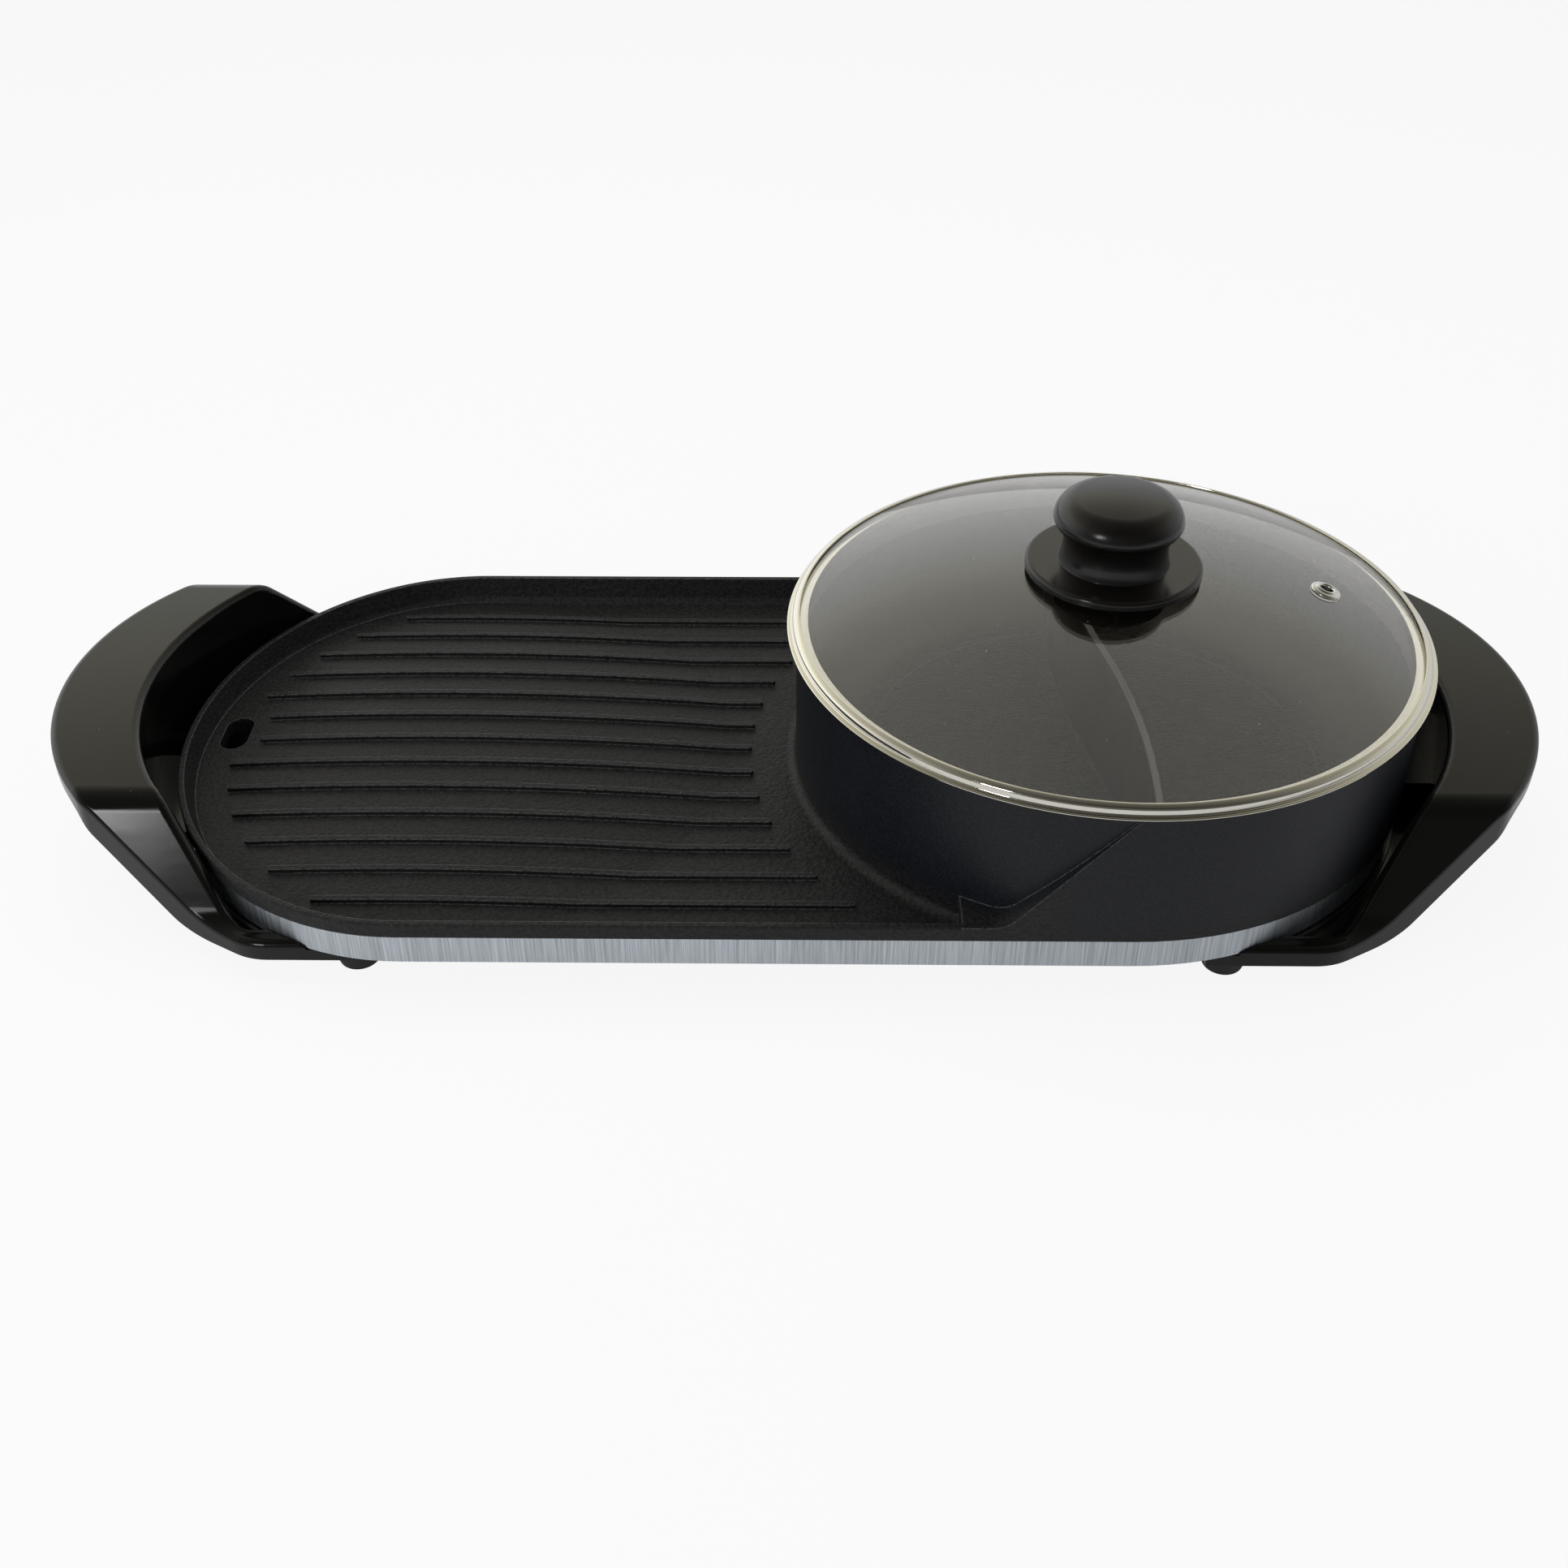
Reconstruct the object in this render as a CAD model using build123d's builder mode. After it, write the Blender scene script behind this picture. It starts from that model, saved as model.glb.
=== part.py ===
"""Electric table cooker: a griddle and a divided hot pot cast in one pan, on a heated base.

Frame: origin at the centre of the base on the table, +X towards the pot, +Y to the back,
+Z up. Sizes are millimetres. The pan lifts off the base and the glass lid lifts off the pot.
"""
from build123d import *
from math import acos, asin, atan2, cos, degrees, pi, sin, sqrt, tan
import os

# ---------------------------------------------------------------- driving dimensions
# Plan outline shared by pan, band and tray: a half round end about the pot's axis,
# straight sides, and a flatter half ellipse at the griddle end.
pot_x = 118.0              # pot axis, from the middle of the base
griddle_end_x = 136.0      # where the straight sides stop, on the griddle side
griddle_end_depth = 102.0  # reach of the half ellipse beyond that line
pot_outer_radius = 116.5
pot_step = 1.0             # pan's outline outside the pot
pan_half_width = pot_outer_radius + pot_step

# Heights above the table
foot_height = 8.0
tray_floor_z = 6.8         # underside of the heater tray
brim_z = 19.2              # underside of the tray's brim
pan_seat_z = 20.2          # underside of the casting, which rests on the brim
band_bottom_z = 16.5
pan_step_z = 28.8          # lower edge of the pan's overhanging rim wall
griddle_floor_z = 23.8
griddle_crown = 5.0        # how far the griddle rises to its middle
griddle_rim_z = 34.5
pot_floor_z = 24.0
pot_rim_z = 83.0

# Pan casting
rim_width = 2.5            # flat top of the griddle's rim
rim_round = 0.8
rim_draft = 2.6            # how far the rim's inner wall leans in at its foot
pan_sunk_inset = 2.3       # casting inside the band, from the pan's outline
pan_edge_radius = 3.0
gutter_radius = 3.5
crown_x = 140.0            # where the griddle is highest
rib_count = 13
rib_pitch = 15.75
rib_width = 2.4
rib_height = 1.8
rib_pot_gap = 17.5         # right rib ends from the pot's wall
rib_end_x = 107.0          # centre of the arc of the left rib ends
rib_end_radius = 114.0
drain_x = 222.7
drain_y = 6.2
drain_length = 21.0
drain_width = 11.0
drain_margin = 2.2         # tray's spout round the drain hole
pot_wall = 3.7
pot_inner_radius = pot_outer_radius - pot_wall
pot_corner_radius = 23.8   # curve at the foot of the pot's wall
pot_ring_size = 4.0        # fillet ring where the pot meets the griddle
shelf_x = 59.0             # left face of the shelf between the rim and the pot
ramp_foot_x = 74.0         # where the outer skirt starts to climb to the pot's rim
ramp_top_x = 116.0
ramp_round = 12.0
divider_top_z = 72.0
divider_thickness = 3.0
divider_sway = 7.5         # sideways swing of the S from the middle line

# Lid
lid_gap = 0.2              # lid ring above the pot's rim
lid_overhang = 3.5         # ring's lip beyond the pot's wall
lid_lip_width = 2.0
lid_curl_width = 2.8       # ring's edge that curls over the glass
lid_sheet = 0.7
lid_skirt_depth = 3.0
glass_thickness = 2.2
glass_edge_gap = 0.3       # glass from the ring's web
glass_rise = 22.4          # height of the dome above its edge
vent_offset = 80.0         # vent from the lid's axis
vent_radius = 3.9
vent_bore = 2.4
vent_flange = 5.8
knob_disc_radius = 32.5
knob_disc_height = 3.2
knob_neck_radius = 19.2
knob_collar_radius = 20.4  # neck where it meets the cap
knob_collar_z = 16.4       # above the glass
knob_cap_radius = 23.6
knob_cap_z = 21.0          # widest part of the cap, above the glass
knob_shoulder_radius = 16.5
knob_shoulder_z = 27.9
knob_height = 29.2
knob_seat_radius = 20.7
knob_seat_depth = 14.6
knob_screw_radius = 2.5
knob_screw_reach = 18.0     # screw above the glass
knob_screw_head = 4.5
knob_screw_head_depth = 2.6
insert_radius = 4.5

# Base
band_inset = 1.2           # band's outer face from the pan's outline
band_thickness = 0.7
tray_inset = 29.5          # dish wall from the pan's outline
tray_sheet = 1.0
element_radius = 3.3
element_gap = 0.3          # heater below the casting
griddle_loop_far_x = 195.0  # griddle heater's reach, on the griddle side
griddle_loop_near_x = 45.0
griddle_loop_half_width = 60.0
griddle_loop_bend = 25.0
pot_loop_radius = 62.0
loop_bend = 8.0             # bends between a heater and its cold ends
tail_y = 9.0                # cold ends, each side of the long axis
griddle_tail_x = 18.0
pot_tail_x = 30.0
pin_stub = 6.0              # terminal pin beyond a cold end
pin_stub_radius = 1.3
reflector_z = 10.6
reflector_sheet = 0.6
reflector_margin = 8.0    # reflector beyond the heater loop
reflector_leg = 5.0
clip_width = 8.0
clip_wall = 1.5
clip_x = 25.0              # griddle clips, each side of the loop's middle

# Handles: outlines in plan are arcs about points on the long axis, then straight legs
pan_reach = max(griddle_end_x + griddle_end_depth, pot_x + pan_half_width)
crest_gap = 10.0           # crest's inner edge beyond the pan's longer end
crest_width = 34.0
crest_outer_radius = 111.5
crest_inner_radius = 117.0
rail_inset = 7.5           # rails from the pan's straight sides
rail_width = 9.0
rail_outer_y = pan_half_width - rail_inset
rail_inner_y = rail_outer_y - rail_width
crest_outer_y = rail_outer_y - 35.0  # where the outer arc ends and the leg starts
crest_inner_y = rail_inner_y - 30.0
rail_knee_x = pan_reach - 47.0
rail_inner_knee_x = pan_reach - 44.0
rail_end_x = 146.0
rail_knee_radius = 24.0
crest_corner_radius = 15.0
inner_corner_radius = 9.0
crest_z = 57.5
crest_edge_z = 56.2
crest_end_y = crest_outer_y - 0.5   # where the crest would meet the sloping leg
leg_foot_y = rail_inner_y - 1.5     # where the leg would meet the rail
crest_depth = 7.5          # height of the handle's edges
crest_round = 2.6
leg_round = 11.0
roof_thickness = 3.0
rail_top_z = 18.5
rail_bottom_z = 8.8
handle_wall = 2.2
collar_z = 12.5            # floor between the band and the handle's inner wall
collar_thickness = 2.0
collar_gap = 0.5           # collar and rails from the band
collar_lip = 1.4
collar_tuck = 6.0          # collar below the band
facet_count = 60           # flats that stand for the end of the pan's outline
tongue_width = 10.0
tongue_inner_x = 199.0
tongue_outer_x = 224.0
handle_screw_x = 205.0
handle_screw_y = 66.0
handle_boss_radius = 4.8
handle_screw_radius = 1.7
handle_screw_head = 3.2
handle_screw_depth = 2.0

# Feet
foot_x = 156.0
foot_y = rail_outer_y - 14.0
foot_top_radius = 9.5
foot_bottom_radius = 7.2
foot_boss_radius = 6.0
foot_screw_radius = 2.0
foot_screw_head = 3.6
foot_screw_recess = 3.4

# Controls
dial_radius = 13.0
dial_depth = 12.0
dial_z = 17.0
dial_gap = 0.6             # dial from its panel
dial_grips = 18
shaft_radius = 3.0
griddle_dial_y = -34.0
pot_dial_y = 0.0
box_half_width = 24.0
box_bottom_z = 6.5
box_top_z = 27.0
box_wall = 1.5
panel_x = pan_reach + crest_gap + 2.4  # outer face of the control panels
duct_half_width = 8.0
duct_bottom_z = 6.8
duct_top_z = 15.6
duct_wall = 1.2
lamp_radius = 3.0
lamp_offset = 19.0
lamp_z = 19.0
thermostat_width = 26.0
thermostat_height = 14.0
thermostat_depth = 8.3
thermostat_outer_x = panel_x - 4.1
thermostat_inner_x = thermostat_outer_x - thermostat_depth

# Drip cup, under the drain hole
cup_width = 24.0
cup_outer_x = panel_x + 0.1
cup_flange = 2.0
cup_flange_z = 14.6
cup_inner_x = 209.5
cup_wall = 1.5
cup_bottom_z = 6.9
cup_top_z = 15.6
cup_gap = 0.5

# Power inlet, at the back
inlet_width = 40.0
inlet_bottom_z = 5.0
inlet_top_z = 19.2
inlet_inner_y = 88.0
inlet_face_y = 116.0
inlet_wall = 2.0
pin_radius = 2.3
pin_spacing = 19.0
pin_length = 16.0

# Inner wiring
block_y = 62.0
block_length = 24.0
block_width = 12.0
block_height = 10.0
fuse_radius = 6.5
fuse_height = 5.0
fuse_y = 26.0
wire_radius = 1.0
wire_bend = 3.0
wire_z = 9.0

clearance = 0.4            # between bodies that lift or slide apart
fit_gap = 0.2              # between fixed pieces that slip together
far = 400.0                # longer than anything that it cuts

os.makedirs("parts", exist_ok=True)


# ---------------------------------------------------------------- shared shapes
def outline(inset):
    """The plan outline, drawn inwards by an inset."""
    half = pan_half_width - inset
    with BuildSketch() as plan:
        with Locations(((pot_x - griddle_end_x) / 2, 0)):
            Rectangle(pot_x + griddle_end_x, 2 * half)
        with Locations((pot_x, 0)):
            Circle(half)
        with Locations((-griddle_end_x, 0)):
            Ellipse(griddle_end_depth - inset, half)
    return plan.sketch


def block(low, high):
    """A box between two corners."""
    size = [top - bottom for bottom, top in zip(low, high)]
    middle = [(top + bottom) / 2 for bottom, top in zip(low, high)]
    with BuildPart() as made:
        with Locations(tuple(middle)):
            Box(*size)
    return made.part


def corners_of(x, y, z):
    """Four places that mirror each other across both long planes."""
    return [(side * x, end * y, z) for side in (-1, 1) for end in (-1, 1)]


def finish(part, label):
    """Name a finished piece and write it to its own file."""
    part.label = label
    export_step(part, f"parts/{label}.step")
    print(f"{label:24s} solids {len(part.solids()):2d}  volume {part.volume / 1000:8.3f} cm3")


# ---------------------------------------------------------------- pan casting
crown_reach = pan_half_width - rim_width
crown_radius = (crown_reach**2 + griddle_crown**2) / (2 * griddle_crown)
crown_centre_z = griddle_floor_z + griddle_crown - crown_radius
wall_foot_inset = rim_width + rim_draft
rib_pot_radius = pot_outer_radius + rib_pot_gap

# Room above the griddle: a tub with leaning walls and a crowned floor.
with BuildPart() as griddle_room:
    with BuildSketch(Plane.XY.offset(griddle_floor_z)):
        add(outline(wall_foot_inset))
    with BuildSketch(Plane.XY.offset(griddle_rim_z)):
        add(outline(rim_width))
    loft(ruled=True)
    fillet(griddle_room.edges().group_by(Axis.Z)[0], radius=gutter_radius)
    with BuildSketch(Plane.XY.offset(griddle_rim_z)):
        add(outline(rim_width))
    extrude(amount=far)
    with Locations((-crown_x, 0, crown_centre_z)):
        Sphere(crown_radius, mode=Mode.SUBTRACT)

# The pot's outer skirt follows the pan's outline, and its top climbs along a ramp from the
# griddle's rim to the pot's rim.
skirt_foot_z = griddle_rim_z - rim_width
with BuildPart() as pot_skirt:
    with BuildSketch(Plane.XY.offset(skirt_foot_z)):
        add(outline(0))
    extrude(amount=pot_rim_z - skirt_foot_z)
    with BuildSketch(Plane.XZ.offset(-far)) as ramp_side:
        with BuildLine():
            Polyline(
                (shelf_x, skirt_foot_z),
                (shelf_x, griddle_rim_z),
                (ramp_foot_x, griddle_rim_z),
                (ramp_top_x, pot_rim_z),
                (far, pot_rim_z),
                (far, skirt_foot_z),
                close=True,
            )
        make_face()
        ramp_ends = ramp_side.vertices().filter_by_position(Axis.X, ramp_foot_x, ramp_top_x)
        fillet(ramp_ends, radius=ramp_round)
    extrude(amount=2 * far, mode=Mode.INTERSECT)

# The shelf fills the corner between the griddle's rim and the pot.
with BuildPart() as corner_shelf:
    with BuildSketch(Plane.XY.offset(griddle_floor_z)):
        add(outline(wall_foot_inset))
        with Locations((shelf_x - far / 2, 0)):
            Rectangle(far, far, mode=Mode.SUBTRACT)
    with BuildSketch(Plane.XY.offset(griddle_rim_z)):
        add(outline(rim_width))
        with Locations((shelf_x - far / 2, 0)):
            Rectangle(far, far, mode=Mode.SUBTRACT)
    loft(ruled=True)

# A concave ring rounds the pot's wall into the griddle.
with BuildPart() as pot_ring:
    with BuildSketch(Plane.XZ):
        with BuildLine():
            ring_foot = pot_outer_radius + pot_ring_size
            ring_top = griddle_floor_z + pot_ring_size
            Line((pot_outer_radius, ring_top), (pot_outer_radius - rim_width, ring_top))
            Line((pot_outer_radius - rim_width, ring_top), (pot_outer_radius - rim_width, pan_seat_z))
            Line((pot_outer_radius - rim_width, pan_seat_z), (ring_foot, pan_seat_z))
            Line((ring_foot, pan_seat_z), (ring_foot, griddle_floor_z))
            RadiusArc((ring_foot, griddle_floor_z), (pot_outer_radius, ring_top), pot_ring_size)
        make_face()
    revolve(axis=Axis.Z)
pot_ring_solid = pot_ring.part.moved(Location((pot_x, 0, 0)))
left_of_shelf = block((-far, -far, 0), (shelf_x + rim_width, far, far))

# Straight ribs with round ends. Their tops follow the crown, and one stops at the drain.
with BuildPart() as rib_dome:
    with Locations((-crown_x, 0, crown_centre_z + rib_height)):
        Sphere(crown_radius)
    add(block((-far, -far, griddle_floor_z), (far, far, griddle_rim_z)), mode=Mode.INTERSECT)
with BuildPart() as ribs:
    with BuildSketch(Plane.XY.offset(pan_seat_z + rib_height)):
        for index in range(rib_count):
            rib_y = (index - (rib_count - 1) / 2) * rib_pitch
            right_x = pot_x - sqrt(rib_pot_radius**2 - rib_y**2)
            left_x = -rib_end_x - sqrt(rib_end_radius**2 - rib_y**2)
            if abs(rib_y - drain_y) < drain_length / 2 + rib_width:
                left_x = max(left_x, drain_width - drain_x)
            with Locations(((left_x + right_x) / 2, rib_y)):
                SlotOverall(right_x - left_x, rib_width)
    extrude(amount=far)
    rib_tops = block((-far, -far, 0), (far, far, griddle_floor_z + rib_height)) + rib_dome.part
    add(rib_tops, mode=Mode.INTERSECT)

# The divider is an S in plan, from wall to wall.
divider_end_y = pot_inner_radius + 1
divider_end_x = 0.6 * divider_sway
divider_foot_z = pan_seat_z + rim_width
with BuildPart() as divider:
    with BuildSketch(Plane.XY.offset(divider_foot_z)):
        with BuildLine():
            ThreePointArc((0, 0), (divider_sway, -divider_end_y / 2), (divider_end_x, -divider_end_y))
            ThreePointArc((0, 0), (-divider_sway, divider_end_y / 2), (-divider_end_x, divider_end_y))
        trace(line_width=divider_thickness)
    extrude(amount=divider_top_z - divider_foot_z)
    fillet(divider.edges().group_by(Axis.Z)[-1].sort_by(Edge.length)[-4:], radius=rim_round)

# The pot's room is a round tub with a wide curve at its foot.
with BuildPart() as pot_room:
    with Locations((0, 0, pot_floor_z)):
        Cylinder(pot_inner_radius, far, align=(Align.CENTER, Align.CENTER, Align.MIN))
    fillet(pot_room.edges().group_by(Axis.Z)[0], radius=pot_corner_radius)

with BuildPart() as pan:
    with BuildSketch(Plane.XY.offset(pan_step_z)):
        add(outline(0))
    extrude(amount=griddle_rim_z - pan_step_z)
    fillet(pan.edges().group_by(Axis.Z)[-1], radius=rim_round)
    with BuildSketch(Plane.XY.offset(pan_seat_z)):
        add(outline(pan_sunk_inset))
    extrude(amount=pan_step_z - pan_seat_z)
    fillet(pan.edges().group_by(Axis.Z)[0], radius=pan_edge_radius)
    add(griddle_room.part, mode=Mode.SUBTRACT)
    add(ribs.part)
    add(pot_ring_solid & left_of_shelf)
    add(corner_shelf.part)
    add(pot_skirt.part)
    with BuildSketch(Plane.XY.offset(griddle_floor_z)):
        with Locations((pot_x, 0)):
            Circle(pot_outer_radius)
        add(outline(pan_sunk_inset), mode=Mode.INTERSECT)
    extrude(amount=pan_step_z - griddle_floor_z)
    with BuildSketch(Plane.XY.offset(pan_step_z)):
        with Locations((pot_x, 0)):
            Circle(pot_outer_radius)
    extrude(amount=pot_rim_z - pan_step_z)
    add(pot_room.part.moved(Location((pot_x, 0, 0))), mode=Mode.SUBTRACT)
    add(divider.part.moved(Location((pot_x, 0, 0))))
    with BuildSketch():
        with Locations((-drain_x, drain_y)):
            SlotOverall(drain_length, drain_width, rotation=90)
    extrude(amount=griddle_rim_z, mode=Mode.SUBTRACT)
finish(pan.part, "pan")

# ---------------------------------------------------------------- lid
lid_base_z = pot_rim_z + lid_gap
lid_lip_radius = pot_outer_radius + lid_overhang
lid_rim_radius = lid_lip_radius - lid_lip_width
lid_web_radius = lid_rim_radius - lid_sheet
lid_curl_radius = lid_rim_radius - lid_curl_width
lid_skirt_outer_radius = pot_inner_radius - clearance
lid_skirt_radius = lid_skirt_outer_radius - lid_sheet
glass_edge_radius = lid_web_radius - glass_edge_gap
glass_edge_z = lid_base_z + lid_sheet
glass_sphere = (glass_edge_radius**2 + glass_rise**2) / (2 * glass_rise)
glass_top_z = glass_edge_z + glass_thickness + glass_rise
glass_centre_z = glass_top_z - glass_sphere


def dome_z(radius):
    """Height of the glass's outer face at a distance from the lid's axis."""
    return glass_centre_z + sqrt(glass_sphere**2 - radius**2)


def on_pot(part):
    """Move a piece made about the Z axis onto the pot's axis."""
    return part.moved(Location((pot_x, 0, 0)))


def dome_curve(inner, outer, drop):
    """An arc that follows the glass's outer face, lowered by a drop."""
    middle = (inner + outer) / 2
    return ThreePointArc(
        (inner, dome_z(inner) - drop),
        (middle, dome_z(middle) - drop),
        (outer, dome_z(outer) - drop),
    )


# Pressed ring: a flat lip, a skirt inside the pot, and a web that curls over the glass.
with BuildPart() as lid_rim:
    with BuildSketch(Plane.XZ):
        with BuildLine():
            curl_under = dome_curve(lid_curl_radius, lid_web_radius, -fit_gap / 4)
            curl_over = dome_curve(lid_curl_radius, lid_rim_radius, -fit_gap / 4 - lid_sheet)
            Line(curl_under @ 0, curl_over @ 0)
            Polyline(
                curl_over @ 1,
                (lid_rim_radius, glass_edge_z),
                (lid_lip_radius, glass_edge_z),
                (lid_lip_radius, lid_base_z),
                (lid_skirt_outer_radius, lid_base_z),
                (lid_skirt_outer_radius, pot_rim_z - lid_skirt_depth),
                (lid_skirt_radius, pot_rim_z - lid_skirt_depth),
                (lid_skirt_radius, glass_edge_z),
                (lid_web_radius, glass_edge_z),
                curl_under @ 1,
            )
        make_face()
    revolve(axis=Axis.Z)
finish(on_pot(lid_rim.part), "lid_rim")

vent_tilt = asin(vent_offset / glass_sphere)
vent_plane = Plane(
    origin=(vent_offset, 0, dome_z(vent_offset)),
    x_dir=(cos(vent_tilt), 0, -sin(vent_tilt)),
    z_dir=(sin(vent_tilt), 0, cos(vent_tilt)),
)
with BuildPart() as lid_glass:
    with BuildSketch(Plane.XZ):
        with BuildLine():
            upper = dome_curve(0, glass_edge_radius, 0)
            lower = dome_curve(0, glass_edge_radius, glass_thickness)
            Line(upper @ 0, lower @ 0)
            Line(upper @ 1, lower @ 1)
        make_face()
    revolve(axis=Axis.Z)
    with Locations((0, 0, glass_top_z)):
        Cylinder(knob_screw_radius + fit_gap, far, mode=Mode.SUBTRACT)
    with BuildSketch(vent_plane):
        Circle(vent_radius + fit_gap)
    extrude(amount=glass_thickness * 2, both=True, mode=Mode.SUBTRACT)
finish(on_pot(lid_glass.part), "lid_glass")

# The vent's eyelet has a flange on each side of the glass.
with BuildPart() as vent_grommet:
    with BuildSketch(vent_plane.offset(-glass_thickness - fit_gap / 2 - lid_sheet)):
        Circle(vent_flange)
    extrude(amount=lid_sheet)
    with BuildSketch(vent_plane.offset(-glass_thickness - fit_gap / 2)):
        Circle(vent_radius)
    extrude(amount=glass_thickness + fit_gap / 2)
    with BuildSketch(vent_plane):
        Circle(vent_flange)
    extrude(amount=2 * lid_sheet, taper=20)
    with BuildSketch(vent_plane):
        Circle(vent_bore)
    extrude(amount=far / 4, both=True, mode=Mode.SUBTRACT)
finish(on_pot(vent_grommet.part), "vent_grommet")

# Knob: a disc on the glass, a waist, and a rounded cap.
disc_bottom_z = glass_top_z + fit_gap / 4
disc_top_z = glass_top_z + knob_disc_height
collar_ring_z = glass_top_z + knob_collar_z
waist_z = (disc_top_z + collar_ring_z) / 2
cap_z = glass_top_z + knob_cap_z
shoulder_z = glass_top_z + knob_shoulder_z
knob_top_z = glass_top_z + knob_height
with BuildPart() as knob:
    with BuildSketch(Plane.XZ) as knob_side:
        with BuildLine():
            disc = Polyline(
                (0, disc_bottom_z),
                (knob_disc_radius, disc_bottom_z),
                (knob_disc_radius, disc_top_z),
                (knob_collar_radius, disc_top_z),
            )
            waist = ThreePointArc(disc @ 1, (knob_neck_radius, waist_z), (knob_collar_radius, collar_ring_z))
            crown = TangentArc((0, knob_top_z), (knob_shoulder_radius, shoulder_z), tangent=(1, 0))
            shoulder = TangentArc(crown @ 1, (knob_cap_radius, cap_z), tangent=crown % 1)
            TangentArc(shoulder @ 1, waist @ 1, tangent=shoulder % 1)
            Line(crown @ 0, disc @ 0)
        make_face()
        disc_corner = knob_side.vertices().filter_by(lambda spot: spot.X > knob_disc_radius - clearance)
        fillet(disc_corner.sort_by(Axis.Y)[-1], radius=2 * rim_round)
        fillet(disc_corner.sort_by(Axis.Y)[0], radius=rim_round)
    revolve(axis=Axis.Z)
    with Locations((0, 0, glass_top_z)):
        Cylinder(
            insert_radius,
            knob_screw_reach + clearance,
            align=(Align.CENTER, Align.CENTER, Align.MIN),
            mode=Mode.SUBTRACT,
        )
finish(on_pot(knob.part), "knob")

with BuildPart() as knob_insert:
    with BuildSketch(Plane.XY.offset(glass_top_z + clearance)):
        Circle(insert_radius)
        Circle(knob_screw_radius, mode=Mode.SUBTRACT)
    extrude(amount=knob_screw_reach)
finish(on_pot(knob_insert.part), "knob_insert")

# Boss below the glass, hollowed for the screw's head.
seat_top_z = glass_top_z - glass_thickness
seat_bottom_z = seat_top_z - knob_seat_depth
head_recess = knob_screw_head_depth + 2 * clearance
with BuildPart() as knob_seat:
    with BuildSketch(Plane.XZ):
        with BuildLine():
            seat_arc = dome_curve(0, knob_seat_radius, glass_thickness + fit_gap / 4)
            Polyline(
                seat_arc @ 1,
                (knob_seat_radius, seat_bottom_z + rim_width),
                (knob_seat_radius - rim_width, seat_bottom_z),
                (0, seat_bottom_z),
                seat_arc @ 0,
            )
        make_face()
    revolve(axis=Axis.Z)
    with Locations((0, 0, seat_bottom_z)):
        Cylinder(knob_screw_radius + fit_gap, far, mode=Mode.SUBTRACT)
        Cylinder(knob_screw_head + clearance, 2 * head_recess, mode=Mode.SUBTRACT)
finish(on_pot(knob_seat.part), "knob_seat")

knob_head_z = seat_bottom_z + head_recess - knob_screw_head_depth
with BuildPart() as knob_screw:
    with BuildSketch(Plane.XY.offset(knob_head_z)):
        Circle(knob_screw_head)
    extrude(amount=knob_screw_head_depth)
    fillet(knob_screw.edges().group_by(Axis.Z)[0], radius=rim_round)
    with BuildSketch(Plane.XY.offset(knob_head_z)):
        Circle(knob_screw_radius)
    extrude(amount=glass_top_z + knob_screw_reach - knob_head_z)
    with BuildSketch(Plane.XY.offset(knob_head_z)):
        Rectangle(knob_screw_head, rim_round)
        Rectangle(rim_round, knob_screw_head)
    extrude(amount=2 * rim_round, mode=Mode.SUBTRACT)
finish(on_pot(knob_screw.part), "knob_screw")

# ---------------------------------------------------------------- heated base
band_outer = outline(band_inset)
band_inner = outline(band_inset + band_thickness)
band_top_z = pan_step_z - fit_gap
notch_half_width = inlet_width / 2 + clearance
with BuildPart() as side_band:
    with BuildSketch(Plane.XY.offset(band_bottom_z)):
        add(band_outer)
        add(band_inner, mode=Mode.SUBTRACT)
    extrude(amount=band_top_z - band_bottom_z)
    notch = block((-notch_half_width, 0, 0), (notch_half_width, far, inlet_top_z + clearance))
    add(notch, mode=Mode.SUBTRACT)
finish(side_band.part, "side_band")

wire_duct_inner = duct_half_width - duct_wall
pin_z = (inlet_bottom_z + inlet_top_z) / 2
with BuildPart() as base_tray:
    with BuildSketch(Plane.XY.offset(brim_z)):
        add(band_inner)
    extrude(amount=pan_seat_z - brim_z)
    with BuildSketch(Plane.XY.offset(tray_floor_z)):
        add(outline(tray_inset))
    extrude(amount=pan_seat_z - tray_floor_z)
    fillet(base_tray.edges().group_by(Axis.Z)[0], radius=rim_width)
    with BuildSketch(Plane.XY.offset(tray_floor_z + tray_sheet)):
        add(outline(tray_inset + tray_sheet))
    extrude(amount=far, mode=Mode.SUBTRACT)
    spout_x = drain_width / 2 + drain_margin
    spout_y = drain_length / 2 + clearance
    with Locations((-drain_x, drain_y, (cup_top_z + clearance + pan_seat_z) / 2)):
        spout_height = pan_seat_z - cup_top_z - clearance
        Box(2 * (spout_x + tray_sheet), 2 * (spout_y + tray_sheet), spout_height)
        Box(2 * spout_x, 2 * spout_y, far, mode=Mode.SUBTRACT)
    for side, dial_y in ((-1, griddle_dial_y), (1, pot_dial_y)):
        across = sorted((side * pot_x, side * thermostat_inner_x))
        duct_hole = block(
            (across[0], dial_y - wire_duct_inner, box_bottom_z + box_wall),
            (across[1], dial_y + wire_duct_inner, duct_top_z - duct_wall),
        )
        add(duct_hole, mode=Mode.SUBTRACT)
    with Locations((-pin_spacing / 2, inlet_inner_y, pin_z), (pin_spacing / 2, inlet_inner_y, pin_z)):
        Cylinder(pin_radius + clearance, 4 * tray_sheet, rotation=(90, 0, 0), mode=Mode.SUBTRACT)
    with Locations(*corners_of(foot_x, foot_y, pan_seat_z)):
        Cylinder(foot_screw_radius + fit_gap, 4 * tray_sheet, mode=Mode.SUBTRACT)
    with Locations(*corners_of(handle_screw_x, handle_screw_y, pan_seat_z)):
        Cylinder(handle_screw_radius + fit_gap, 4 * tray_sheet, mode=Mode.SUBTRACT)
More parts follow.
